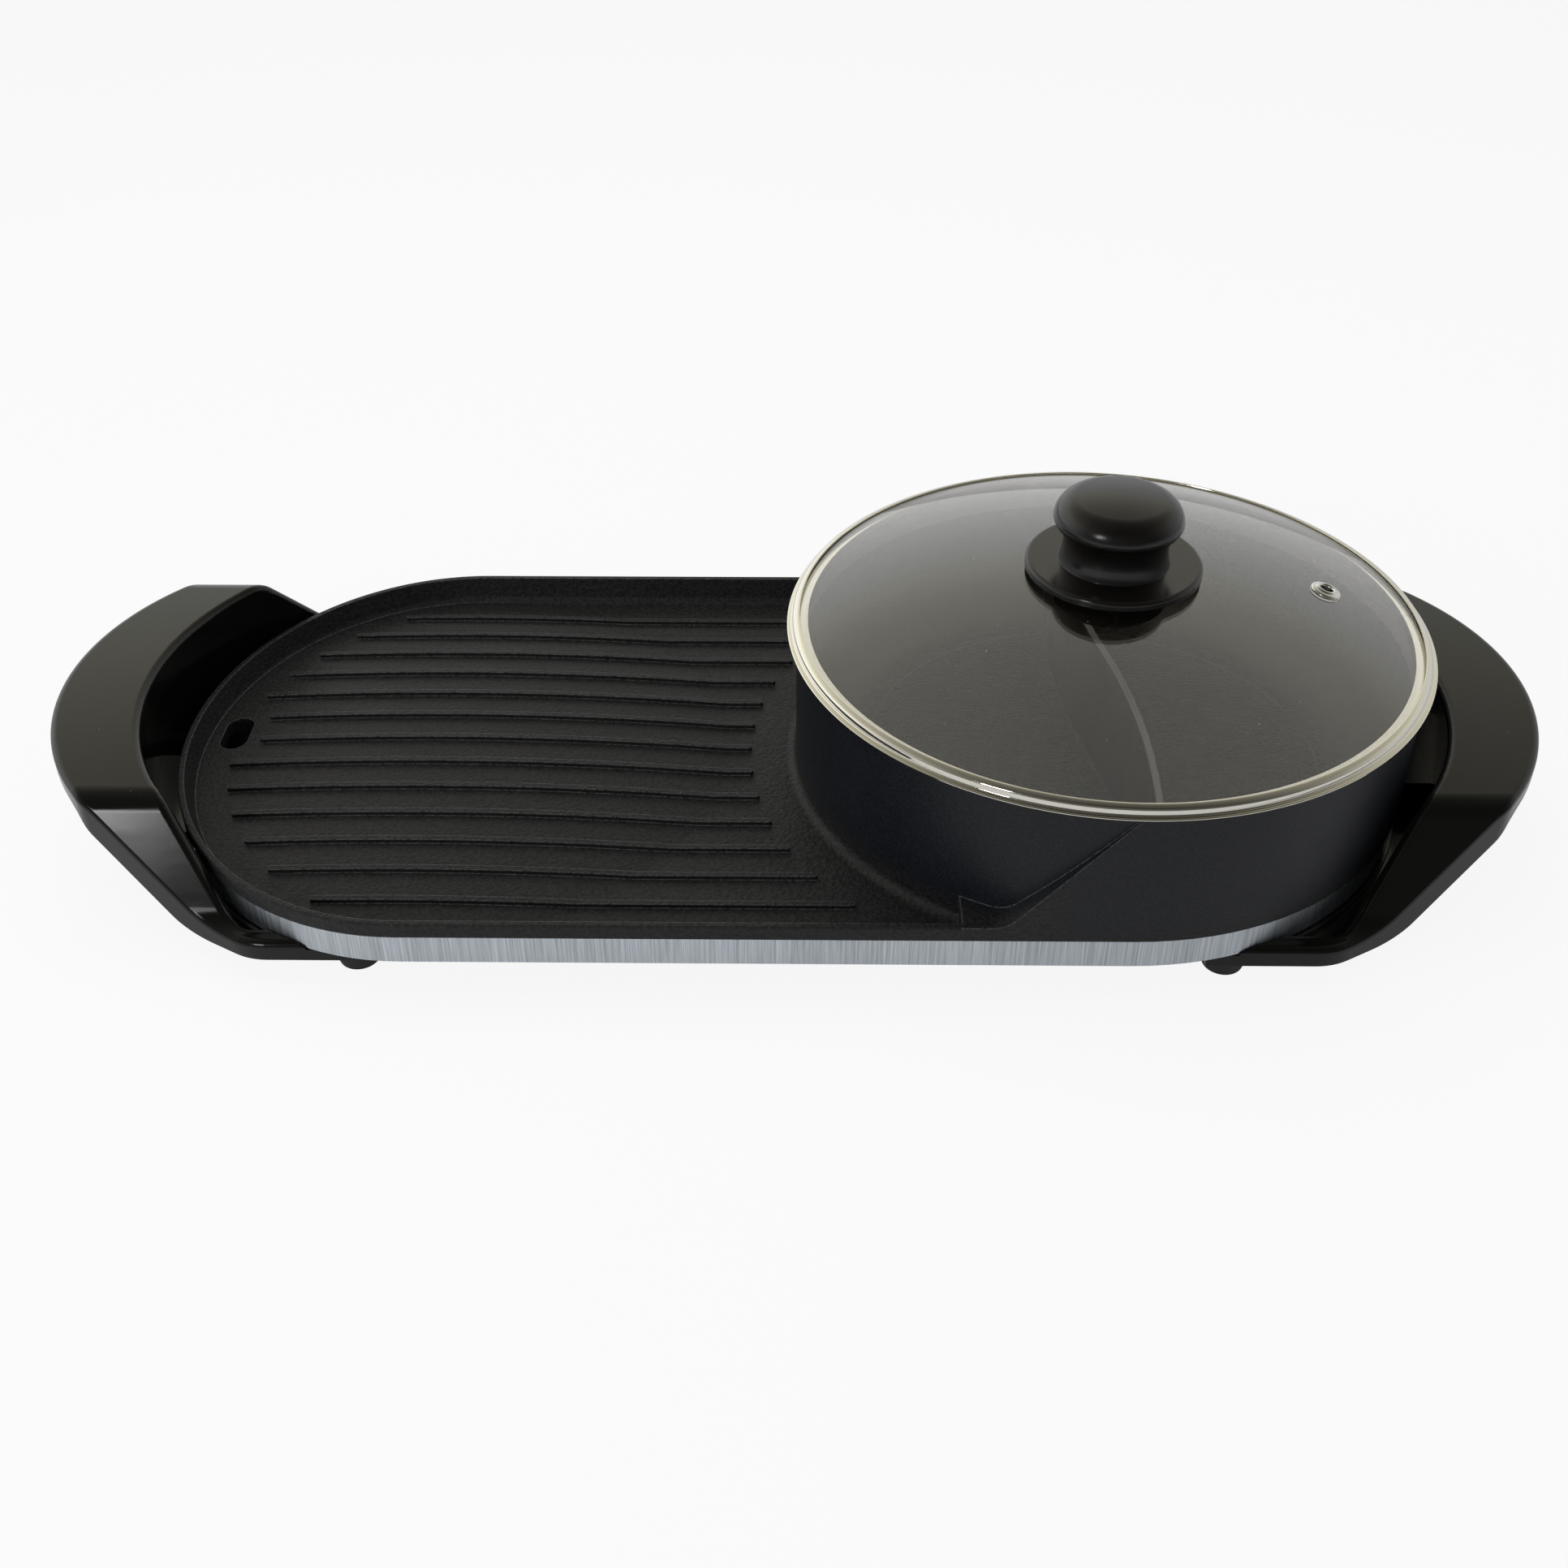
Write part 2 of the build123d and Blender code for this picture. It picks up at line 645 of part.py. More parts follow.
finish(base_tray.part, "base_tray")

# Heater centre height, and the paths of the two tubular heaters
element_z = pan_seat_z - element_gap - element_radius
bend_reach = pot_loop_radius + loop_bend
bend_angle = degrees(acos((tail_y + loop_bend) / bend_reach))
pot_bend_x = pot_x - bend_reach * sin(bend_angle * pi / 180)
griddle_side = griddle_loop_half_width - griddle_loop_bend - tail_y - loop_bend
griddle_long = griddle_loop_far_x - griddle_loop_near_x - griddle_loop_half_width - griddle_loop_bend


def heater(start, heading, runs):
    """A tube along a flat path: each run is a radius and an angle, or a length with no radius."""
    with BuildPart() as tube:
        with BuildLine() as path:
            place = start
            for radius, amount in runs:
                if radius:
                    run = JernArc(start=place, tangent=heading, radius=radius, arc_size=amount)
                else:
                    run = Line(place, place + heading * amount)
                place = run @ 1
                heading = (run % 1).normalized()
        first = Plane(origin=path.line @ 0, z_dir=path.line % 0)
        last = Plane(origin=path.line @ 1, z_dir=path.line % 1)
        with BuildSketch(first):
            Circle(element_radius)
        sweep(path=path.line)
        with BuildSketch(first.offset(-pin_stub), last.offset(-pin_stub_radius)):
            Circle(pin_stub_radius)
        extrude(amount=pin_stub + pin_stub_radius)
    return tube.part


griddle_element = heater(
    Vector(-griddle_tail_x, tail_y, element_z),
    Vector(-1, 0, 0),
    (
        (0, griddle_loop_near_x - griddle_tail_x - loop_bend),
        (loop_bend, -90),
        (0, griddle_side),
        (griddle_loop_bend, 90),
        (0, griddle_long),
        (griddle_loop_half_width, 180),
        (0, griddle_long),
        (griddle_loop_bend, 90),
        (0, griddle_side),
        (loop_bend, -90),
        (0, griddle_loop_near_x - griddle_tail_x - loop_bend),
    ),
)
finish(griddle_element, "griddle_element")
pot_element = heater(
    Vector(pot_tail_x, -tail_y, element_z),
    Vector(1, 0, 0),
    (
        (0, pot_bend_x - pot_tail_x),
        (loop_bend, -bend_angle),
        (pot_loop_radius, 180 + 2 * bend_angle),
        (loop_bend, -bend_angle),
        (0, pot_bend_x - pot_tail_x),
    ),
)
finish(pot_element, "pot_element")

# Reflectors below the heaters, on small legs
dish_floor_z = tray_floor_z + tray_sheet
reflector_end_x = griddle_loop_far_x - griddle_loop_half_width
clip_middle_x = -(reflector_end_x + griddle_loop_near_x + griddle_loop_bend) / 2
reflector_half = griddle_loop_half_width + reflector_margin
near_edge_x = -griddle_loop_near_x + reflector_margin
leg_spots = [(-reflector_end_x, -reflector_half), (-reflector_end_x, reflector_half)]
leg_spots += [(near_edge_x - loop_bend, -reflector_half), (near_edge_x - loop_bend, reflector_half)]
with BuildPart() as griddle_reflector:
    with BuildSketch(Plane.XY.offset(reflector_z)):
        with Locations((-reflector_end_x, 0)):
            Circle(reflector_half)
        with Locations(((near_edge_x - reflector_end_x) / 2, 0)):
            Rectangle(near_edge_x + reflector_end_x, 2 * reflector_half)
    extrude(amount=reflector_sheet)
    for leg_x, leg_y in leg_spots:
        inner_y = leg_y - reflector_sheet / 2 if leg_y > 0 else leg_y + reflector_sheet / 2
        with Locations((leg_x, inner_y, (dish_floor_z + reflector_z) / 2)):
            Box(reflector_leg, reflector_sheet, reflector_z - dish_floor_z)
finish(griddle_reflector.part, "griddle_reflector")

pot_reflector_radius = pot_loop_radius + reflector_margin
with BuildPart() as pot_reflector:
    with BuildSketch(Plane.XY.offset(reflector_z)):
        Circle(pot_reflector_radius)
    extrude(amount=reflector_sheet)
    with PolarLocations(pot_reflector_radius - reflector_sheet / 2 - clearance, 4, start_angle=45):
        with Locations((0, 0, (dish_floor_z + reflector_z) / 2)):
            Box(reflector_sheet, reflector_leg, reflector_z - dish_floor_z)
finish(on_pot(pot_reflector.part), "pot_reflector")

# Saddles that hold the heaters off the reflectors
saddle_foot_z = reflector_z + reflector_sheet
saddle_width = 2 * (element_radius + clip_wall)
saddle_align = (Align.CENTER, Align.CENTER, Align.MIN)
with BuildPart() as griddle_clips:
    for clip_side in (-1, 1):
        for clip_at in (-clip_x, clip_x):
            with Locations((clip_middle_x + clip_at, clip_side * griddle_loop_half_width, saddle_foot_z)):
                Box(clip_width, saddle_width, element_z - saddle_foot_z, align=saddle_align)
            with Locations((clip_middle_x + clip_at, clip_side * griddle_loop_half_width, element_z)):
                Cylinder(element_radius, 2 * clip_width, rotation=(0, 90, 0), mode=Mode.SUBTRACT)
finish(griddle_clips.part, "griddle_clips")
with BuildPart() as pot_clips:
    with PolarLocations(pot_loop_radius, 4, start_angle=45):
        with Locations((0, 0, saddle_foot_z)):
            Box(saddle_width, clip_width, element_z - saddle_foot_z, align=saddle_align)
    with Locations((0, 0, element_z)):
        Torus(pot_loop_radius, element_radius, mode=Mode.SUBTRACT)
finish(on_pot(pot_clips.part), "pot_clips")

# ---------------------------------------------------------------- power inlet and wiring
with BuildPart() as power_inlet:
    add(
        block(
            (-inlet_width / 2, inlet_inner_y, inlet_bottom_z),
            (inlet_width / 2, inlet_face_y, inlet_top_z),
        )
    )
    fillet(power_inlet.edges().filter_by(Axis.Y), radius=inlet_wall)
    add(
        block(
            (inlet_wall - inlet_width / 2, inlet_inner_y + inlet_wall, inlet_bottom_z + inlet_wall),
            (inlet_width / 2 - inlet_wall, far, inlet_top_z - inlet_wall),
        ),
        mode=Mode.SUBTRACT,
    )
    with Locations((-pin_spacing / 2, inlet_inner_y, pin_z), (pin_spacing / 2, inlet_inner_y, pin_z)):
        Cylinder(pin_radius, 4 * inlet_wall, rotation=(90, 0, 0), mode=Mode.SUBTRACT)
finish(power_inlet.part, "power_inlet")

pin_inner_y = inlet_inner_y - 2 * inlet_wall
with BuildPart() as inlet_pins:
    with BuildSketch(Plane.XZ.offset(-pin_inner_y)):
        with Locations((-pin_spacing / 2, pin_z), (pin_spacing / 2, pin_z)):
            Circle(pin_radius)
    extrude(amount=-(pin_length + inlet_inner_y + inlet_wall - pin_inner_y))
    fillet(inlet_pins.edges().group_by(Axis.Y)[-1], radius=pin_radius / 2)
finish(inlet_pins.part, "inlet_pins")

block_top_z = dish_floor_z + block_height
with BuildPart() as terminal_block:
    with Locations((0, block_y, dish_floor_z)):
        Box(block_length, block_width, block_height, align=saddle_align)
    for slot_x in (-block_length / 4, 0, block_length / 4):
        with Locations((slot_x, block_y, block_top_z)):
            Box(rim_round, block_width, rim_width, mode=Mode.SUBTRACT)
finish(terminal_block.part, "terminal_block")

with BuildPart() as thermal_fuse:
    with Locations((0, fuse_y, dish_floor_z)):
        Cylinder(fuse_radius, fuse_height, align=saddle_align)
    fillet(thermal_fuse.edges().group_by(Axis.Z)[-1], radius=rim_round)
finish(thermal_fuse.part, "thermal_fuse")

# Wires run on the tray's floor to the thermostats, and drop from the heaters' pins.
block_front_y = block_y - block_width / 2
block_rear_y = block_y + block_width / 2
block_end_x = block_length / 2
joint_z = dish_floor_z + block_height * 0.7
wire_step = 2.5
lane_x = 21.0
griddle_pin_x = griddle_tail_x - pin_stub
pot_pin_x = pot_tail_x - pin_stub
drop_x = 9.5
drop_step = 5.0
wire_paths = []
for side, dial_y in ((-1, griddle_dial_y), (1, pot_dial_y)):
    wire_paths.append(
        (
            (side * thermostat_inner_x, dial_y - wire_step, wire_z),
            (side * lane_x, dial_y - wire_step, wire_z),
            (side * lane_x, block_y - wire_step, wire_z),
            (side * block_end_x, block_y - wire_step, wire_z),
        )
    )
    wire_paths.append(
        (
            (side * thermostat_inner_x, dial_y + wire_step, wire_z),
            (side * (lane_x + drop_step), dial_y + wire_step, wire_z),
            (side * (lane_x + drop_step), block_y + wire_step, wire_z),
            (side * block_end_x, block_y + wire_step, wire_z),
        )
    )
for side, pin_x in ((-1, griddle_pin_x), (1, pot_pin_x)):
    for tail, at_x in ((tail_y, drop_x), (-tail_y, drop_x - drop_step)):
        wire_paths.append(
            (
                (side * pin_x, tail, element_z),
                (side * at_x, tail, element_z),
                (side * at_x, block_front_y - drop_step, joint_z),
                (side * at_x, block_front_y, joint_z),
            )
        )
for pin_x in (-pin_spacing / 2, pin_spacing / 2):
    wire_paths.append(((pin_x, pin_inner_y, pin_z), (pin_x, block_rear_y, pin_z)))
wire_paths.append(((0, fuse_y + fuse_radius, wire_z), (0, block_front_y, wire_z)))


def wire(points):
    """A round wire along a line with bent corners."""
    with BuildPart() as strand:
        with BuildLine() as path:
            if len(points) > 2:
                FilletPolyline(*points, radius=wire_bend / 2)
            else:
                Line(*points)
        with BuildSketch(Plane(origin=path.line @ 0, z_dir=path.line % 0)):
            Circle(wire_radius)
        sweep(path=path.line)
    return strand.part


wiring = Compound(children=[wire(points) for points in wire_paths])
finish(wiring, "wiring")

# ---------------------------------------------------------------- controls
collar_inner = outline(band_inset - collar_gap)
dish_outline = outline(tray_inset)


def column(sketch, bottom, top):
    """A sketch drawn up from one height to another."""
    with BuildPart() as made:
        with BuildSketch(Plane.XY.offset(bottom)):
            add(sketch)
        extrude(amount=top - bottom)
    return made.part


def control_box(side, dial_y):
    """A box round a thermostat, open towards the band, with a wire duct below the band."""
    low_y = dial_y - box_half_width
    high_y = dial_y + box_half_width
    reach = (pot_x + far) / 2
    front = sorted((side * pot_x, side * panel_x))
    room = sorted((side * pot_x, side * (panel_x - box_wall)))
    duct = sorted((side * pot_x, side * thermostat_inner_x))
    with BuildPart() as shell:
        add(block((front[0], low_y, box_bottom_z), (front[1], high_y, box_top_z)))
        edges = shell.edges().group_by(Axis.X)[-1 if side > 0 else 0]
        fillet(edges, radius=box_wall)
        add(
            block(
                (room[0], low_y + box_wall, box_bottom_z + box_wall),
                (room[1], high_y - box_wall, box_top_z - box_wall),
            ),
            mode=Mode.SUBTRACT,
        )
        add(column(collar_inner, 0, reach), mode=Mode.SUBTRACT)
        add(block((duct[0], dial_y - duct_half_width, duct_bottom_z),
                  (duct[1], dial_y + duct_half_width, duct_top_z)))
        add(
            block(
                (duct[0], dial_y - wire_duct_inner, box_bottom_z + box_wall),
                (duct[1], dial_y + wire_duct_inner, duct_top_z - duct_wall),
            ),
            mode=Mode.SUBTRACT,
        )
        add(column(dish_outline, 0, reach), mode=Mode.SUBTRACT)
        with BuildSketch(Plane.YZ.offset(front[0])):
            with Locations((dial_y, dial_z)):
                Circle(shaft_radius + clearance)
            with Locations((dial_y - lamp_offset, lamp_z), (dial_y + lamp_offset, lamp_z)):
                Circle(lamp_radius)
        extrude(amount=front[1] - front[0], mode=Mode.SUBTRACT)
    return shell.part


def thermostat(side, dial_y):
    """The switch body inside a control box."""
    across = sorted((side * thermostat_inner_x, side * thermostat_outer_x))
    with BuildPart() as body:
        add(
            block(
                (across[0], dial_y - thermostat_width / 2, box_bottom_z + box_wall),
                (across[1], dial_y + thermostat_width / 2, box_bottom_z + box_wall + thermostat_height),
            )
        )
        fillet(body.edges().filter_by(Axis.X), radius=rim_round)
    return body.part


def dial_shaft(side, dial_y):
    """The spindle between a thermostat and its dial."""
    start = thermostat_outer_x + clearance
    with BuildPart() as spindle:
        with BuildSketch(Plane.YZ.offset(side * start)):
            with Locations((dial_y, dial_z)):
                Circle(shaft_radius)
        extrude(amount=side * (panel_x + dial_gap + dial_depth * 0.7 - start))
    return spindle.part


def dial(side, dial_y):
    """A round dial with grip flutes, a socket for its spindle and a raised pointer."""
    back_x = panel_x + dial_gap
    with BuildPart() as wheel:
        with BuildSketch(Plane.YZ.offset(side * back_x)):
            with Locations((dial_y, dial_z)):
                Circle(dial_radius)
                with PolarLocations(dial_radius + rim_round, dial_grips):
                    Circle(2 * rim_round, mode=Mode.SUBTRACT)
        extrude(amount=side * dial_depth)
        with BuildSketch(Plane.YZ.offset(side * (back_x + dial_depth))):
            with Locations((dial_y, dial_z + dial_radius / 2)):
                Rectangle(rim_width, dial_radius * 0.7)
        extrude(amount=side * rim_round)
        with BuildSketch(Plane.YZ.offset(side * back_x)):
            with Locations((dial_y, dial_z)):
                Circle(shaft_radius)
        extrude(amount=side * dial_depth * 0.7, mode=Mode.SUBTRACT)
    return wheel.part


def lamp_pair(side, dial_y):
    """Two round lenses in a control panel."""
    with BuildPart() as lenses:
        with BuildSketch(Plane.YZ.offset(side * (panel_x - box_wall))):
            with Locations((dial_y - lamp_offset, lamp_z), (dial_y + lamp_offset, lamp_z)):
                Circle(lamp_radius)
        extrude(amount=side * (box_wall + rim_width / 2))
        outer = lenses.edges().group_by(Axis.X)[-1 if side > 0 else 0]
        fillet(outer, radius=rim_round)
    return lenses.part


for name, side, dial_y in (("griddle", -1, griddle_dial_y), ("pot", 1, pot_dial_y)):
    finish(control_box(side, dial_y), f"{name}_control_box")
    finish(thermostat(side, dial_y), f"{name}_thermostat")
    finish(dial_shaft(side, dial_y), f"{name}_shaft")
    finish(dial(side, dial_y), f"{name}_dial")
    finish(lamp_pair(side, dial_y), f"{name}_lamps")

# ---------------------------------------------------------------- drip cup
cup_half = cup_width / 2
cup_flange_half = cup_half + cup_flange
with BuildPart() as drip_cup:
    add(
        block(
            (-cup_outer_x, drain_y - cup_half, cup_bottom_z),
            (-cup_inner_x, drain_y + cup_half, cup_top_z),
        )
    )
    fillet(drip_cup.edges().group_by(Axis.Z)[0], radius=cup_wall)
    add(
        block(
            (-cup_outer_x, drain_y - cup_flange_half, cup_flange_z),
            (-cup_inner_x, drain_y + cup_flange_half, cup_top_z),
        )
    )
    add(
        block(
            (cup_wall - cup_outer_x, drain_y - cup_half + cup_wall, cup_bottom_z + cup_wall),
            (-cup_inner_x - cup_wall, drain_y + cup_half - cup_wall, far),
        ),
        mode=Mode.SUBTRACT,
    )
finish(drip_cup.part, "drip_cup")

# ---------------------------------------------------------------- end handles
crest_inner_centre = pan_reach + crest_gap - crest_inner_radius
crest_outer_centre = pan_reach + crest_gap + crest_width - crest_outer_radius
crest_outer_x = crest_outer_centre + sqrt(crest_outer_radius**2 - crest_outer_y**2)
crest_inner_x = crest_inner_centre + sqrt(crest_inner_radius**2 - crest_inner_y**2)
leg_angle = atan2(crest_edge_z - rail_top_z, leg_foot_y - crest_end_y)


def away(centre, radius, x, y, inset):
    """A point of an arc's end, moved with the arc when its radius changes."""
    scale = (radius + inset) / radius
    return centre + (x - centre) * scale, y * scale


def at_corner(places):
    """A test for points that lie at one of some places along the long axis."""
    return lambda spot: min(abs(spot.X - place) for place in places) < clearance


outer_turn = atan2(rail_outer_y - crest_outer_y, crest_outer_x - rail_knee_x)
inner_turn = atan2(rail_inner_y - crest_inner_y, crest_inner_x - rail_inner_knee_x)


def inner_corners(inset):
    """The two corners of the inner edge on the +Y side, drawn into the handle by an inset."""
    knee = (rail_inner_knee_x + inset * tan(inner_turn / 2), rail_inner_y + inset)
    crest = away(crest_inner_centre, crest_inner_radius, crest_inner_x, crest_inner_y, inset)
    return knee, crest


def inner_line(inset):
    """The handle's inner edge in plan, from one rail end to the other."""
    knee, crest_end = inner_corners(inset)
    end_x = rail_end_x + inset
    first = Line((end_x, -knee[1]), (knee[0], -knee[1]))
    leg = Line(first @ 1, (crest_end[0], -crest_end[1]))
    crest_x = crest_inner_centre + crest_inner_radius + inset
    crest = ThreePointArc(leg @ 1, (crest_x, 0), crest_end)
    far_leg = Line(crest @ 1, knee)
    return Line(far_leg @ 1, (end_x, knee[1]))


def handle_plan(inset):
    """The handle in plan, a crest with two legs and two rails, drawn in by an inset."""
    crest_end = away(crest_outer_centre, crest_outer_radius, crest_outer_x, crest_outer_y, -inset)
    crest_x = crest_outer_centre + crest_outer_radius - inset
    knee = (rail_knee_x - inset * tan(outer_turn / 2), rail_outer_y - inset)
    end_x = rail_end_x + inset
    with BuildSketch() as plan:
        with BuildLine():
            last = inner_line(inset)
            rail = Line(last @ 1, (end_x, knee[1]))
            side = Line(rail @ 1, knee)
            leg = Line(side @ 1, crest_end)
            crest = ThreePointArc(leg @ 1, (crest_x, 0), (crest_end[0], -crest_end[1]))
            far_leg = Line(crest @ 1, (knee[0], -knee[1]))
            far_side = Line(far_leg @ 1, (end_x, -knee[1]))
            Line(far_side @ 1, (end_x, -inner_corners(inset)[0][1]))
        make_face()
        fillet(plan.vertices().filter_by(at_corner([knee[0]])), radius=rail_knee_radius - inset)
        fillet(plan.vertices().filter_by(at_corner([crest_end[0]])), radius=crest_corner_radius - inset)
        inner_places = [corner[0] for corner in inner_corners(inset)]
        fillet(plan.vertices().filter_by(at_corner(inner_places)), radius=inner_corner_radius + inset)
    return plan.sketch


def inner_plan(inset):
    """The plan inside the handle's inner edge, with the edge moved out by an inset."""
    knee = inner_corners(inset)[0]
    with BuildSketch() as plan:
        with BuildLine():
            last = inner_line(inset)
            Line(last @ 1, (rail_end_x + inset, -knee[1]))
        make_face()
        inner_places = [corner[0] for corner in inner_corners(inset)]
        fillet(plan.vertices().filter_by(at_corner(inner_places)), radius=inner_corner_radius + inset)
    return plan.sketch


def under_line(drop, bottom):
    """The handle seen from the end: all that lies below its upper line, lowered by a drop."""
    back = drop * tan(leg_angle / 2)
    end_y = crest_end_y - back
    end_z = crest_edge_z - drop
    foot_y_here = leg_foot_y - back
    foot_z_here = rail_top_z - drop
    with BuildSketch() as region:
        with BuildLine():
            crest = ThreePointArc((-end_y, end_z), (0, crest_z - drop), (end_y, end_z))
            if foot_z_here > bottom:
                Polyline(
                    crest @ 1,
                    (foot_y_here, foot_z_here),
                    (far, foot_z_here),
                    (far, bottom),
                    (-far, bottom),
                    (-far, foot_z_here),
                    (-foot_y_here, foot_z_here),
                    crest @ 0,
                )
            else:
                base_y = foot_y_here - (bottom - foot_z_here) / tan(leg_angle)
                Polyline(crest @ 1, (base_y, bottom), (-base_y, bottom), crest @ 0)
        make_face()
        bends = region.vertices().filter_by(lambda spot: bottom < spot.Y and abs(spot.X) < far / 2)
        fillet(bends, radius=leg_round)
    return region.sketch


def seen_from_end(sketch):
    """A shape seen from the end, drawn along the long axis."""
    with BuildPart() as made:
        with BuildSketch(Plane.YZ):
            add(sketch)
        extrude(amount=far)
    return made.part


plan_face = handle_plan(0)
inner_face = inner_plan(0)


def on_inner_line(edge):
    """Whether an edge lies above the handle's inner edge in plan."""
    spot = edge @ 0.5
    return inner_face.face().distance_to(Vertex(spot.X, spot.Y, 0)) < clearance


def at_rim(edge):
    """Whether an edge bounds the upper faces: not a fold between them, nor a rail's end."""
    return abs((edge % 0.5).X) < 0.999 and abs((edge @ 0.5).X - rail_end_x) > clearance


# A hollow arch, open below.
hollow = column(handle_plan(handle_wall), 0, far)
hollow = hollow & seen_from_end(under_line(roof_thickness, 0))
hollow = hollow - column(outline(band_inset - collar_gap - handle_wall), collar_z, far)
with BuildPart() as arch:
    with BuildSketch():
        add(plan_face)
    extrude(amount=far)
    add(seen_from_end(under_line(0, rail_bottom_z)), mode=Mode.INTERSECT)
    add(seen_from_end(under_line(crest_depth, rail_bottom_z)), mode=Mode.SUBTRACT)
    upper_faces = arch.faces().filter_by(lambda face: face.normal_at().Z > 0.2)
    rim_edges = upper_faces.edges().filter_by(at_rim)
    inner_spots = [edge @ 0.5 for edge in rim_edges.filter_by(on_inner_line)]
    fillet(rim_edges.filter_by(lambda edge: not on_inner_line(edge)), radius=crest_round)
    inner_edges = arch.edges().filter_by(
        lambda edge: min((edge @ 0.5 - spot).length for spot in inner_spots) < clearance / far
    )
    fillet(inner_edges, radius=crest_round)
    add(hollow, mode=Mode.SUBTRACT)

# The inner wall closes the handle towards the base, up to just below its upper face.
inner_wall = column(inner_plan(handle_wall), rail_bottom_z, far) - column(inner_face, 0, far)
inner_wall = inner_wall & seen_from_end(under_line(roof_thickness, 0))

collar_top_z = collar_z + collar_thickness
lip_top_z = collar_top_z + collar_lip
lip_outline = outline(band_inset - collar_gap - collar_lip)
lip_ring = column(lip_outline, collar_z, lip_top_z) - column(collar_inner, 0, far)
lip_end_y = rail_inner_y + handle_wall / 2


def on_side(part, side):
    """A piece of the +X handle, mirrored for the other end when the side is negative."""
    return part if side > 0 else part.mirror(Plane.YZ)


def band_room(side):
    """Room for one end of the band above the collar's lip, with a facetted edge."""
    half = pan_half_width - band_inset + collar_gap
    depth = half if side > 0 else griddle_end_depth - band_inset + collar_gap
    middle_x = pot_x if side > 0 else griddle_end_x
    turns = [pi * (index / facet_count - 1 / 2) for index in range(facet_count + 1)]
    points = [(side * (middle_x + depth * cos(turn)), half * sin(turn)) for turn in turns]
    with BuildPart() as room:
        with BuildSketch(Plane.XY.offset(lip_top_z)):
            with BuildLine():
                Polyline((0, -half), *points, (0, half), close=True)
            make_face()
        extrude(amount=pan_step_z - lip_top_z)
    return room.part


def end_handle(side, windows):
    """A handle with its collar round the base's end, cut by windows for what passes through."""
    inside = on_side(column(inner_face, collar_z, far), side)
    collar = inside & block((-far, -far, collar_z), (far, far, collar_top_z))
    collar = collar - column(outline(band_inset + collar_tuck), 0, far)
    ends = sorted((side * rail_end_x, side * far))
    lip = lip_ring & block((ends[0], -lip_end_y, 0), (ends[1], lip_end_y, far))
    foot_spots = [(side * foot_x, end * foot_y, 0) for end in (-1, 1)]
    screw_spots = [(side * handle_screw_x, end * handle_screw_y, 0) for end in (-1, 1)]
    tongue_x = side * (tongue_inner_x + tongue_outer_x) / 2
    tongue_length = tongue_outer_x - tongue_inner_x
    with BuildPart() as handle:
        add(on_side(arch.part, side))
        add(on_side(inner_wall, side))
        add(collar)
        add(lip)
        add(band_room(side), mode=Mode.SUBTRACT)
        with Locations(*[(tongue_x, end * handle_screw_y, collar_z) for end in (-1, 1)]):
            Box(tongue_length, tongue_width, collar_thickness, align=saddle_align)
        with Locations(*screw_spots):
            with Locations((0, 0, collar_z)):
                Cylinder(handle_boss_radius, brim_z - collar_z, align=saddle_align)
            Cylinder(handle_screw_radius + fit_gap, far, mode=Mode.SUBTRACT)
        with Locations(*foot_spots):
            with Locations((0, 0, foot_height)):
                Cylinder(foot_top_radius, collar_z - foot_height, align=saddle_align)
                Cylinder(foot_boss_radius, brim_z - foot_height, align=saddle_align)
            Cylinder(foot_screw_radius + fit_gap, far, mode=Mode.SUBTRACT)
        for window in windows:
            add(window, mode=Mode.SUBTRACT)
    return handle.part


def box_window(side, dial_y):
    """The room a control box takes in its handle."""
    across = sorted((side * tongue_inner_x, side * (panel_x + dial_gap + dial_depth / 2)))
    return block(
        (across[0], dial_y - box_half_width, box_bottom_z),
        (across[1], dial_y + box_half_width, box_top_z),
    )


cup_low = (-cup_outer_x - cup_flange, drain_y - cup_half - cup_gap, box_bottom_z)
cup_high = (-tongue_inner_x, drain_y + cup_half + cup_gap, band_bottom_z)
flange_low = (-cup_outer_x - cup_flange, drain_y - cup_flange_half - cup_gap, collar_top_z)
flange_high = (-tongue_inner_x, drain_y + cup_flange_half + cup_gap, band_bottom_z)
griddle_windows = [box_window(-1, griddle_dial_y), block(cup_low, cup_high), block(flange_low, flange_high)]
finish(end_handle(-1, griddle_windows), "handle_griddle")
finish(end_handle(1, [box_window(1, pot_dial_y)]), "handle_pot")

# ---------------------------------------------------------------- feet and screws
with BuildPart() as foot:
    Cone(foot_bottom_radius, foot_top_radius, foot_height, align=saddle_align)
    fillet(foot.edges().group_by(Axis.Z)[0], radius=rim_round)
    Cylinder(foot_screw_head + clearance, 2 * foot_screw_recess, mode=Mode.SUBTRACT)
    Cylinder(foot_screw_radius + fit_gap, far, mode=Mode.SUBTRACT)
for name, side, end in (
    ("foot_griddle_front", -1, -1),
    ("foot_griddle_back", -1, 1),
    ("foot_pot_front", 1, -1),
    ("foot_pot_back", 1, 1),
):
    finish(foot.part.moved(Location((side * foot_x, end * foot_y, 0))), name)


def pan_screw(radius, head_radius, head_depth, head_top, tip_z):
    """A screw along Z with its head below and a cross recess in the head."""
    head_z = head_top - head_depth
    with BuildPart() as screw:
        with Locations((0, 0, head_z)):
            Cylinder(head_radius, head_depth, align=saddle_align)
        fillet(screw.edges().group_by(Axis.Z)[0], radius=head_depth / 3)
        with Locations((0, 0, head_z)):
            Cylinder(radius, tip_z - head_z, align=saddle_align)
            Box(head_radius, rim_round, head_depth, mode=Mode.SUBTRACT)
            Box(rim_round, head_radius, head_depth, mode=Mode.SUBTRACT)
    return screw.part


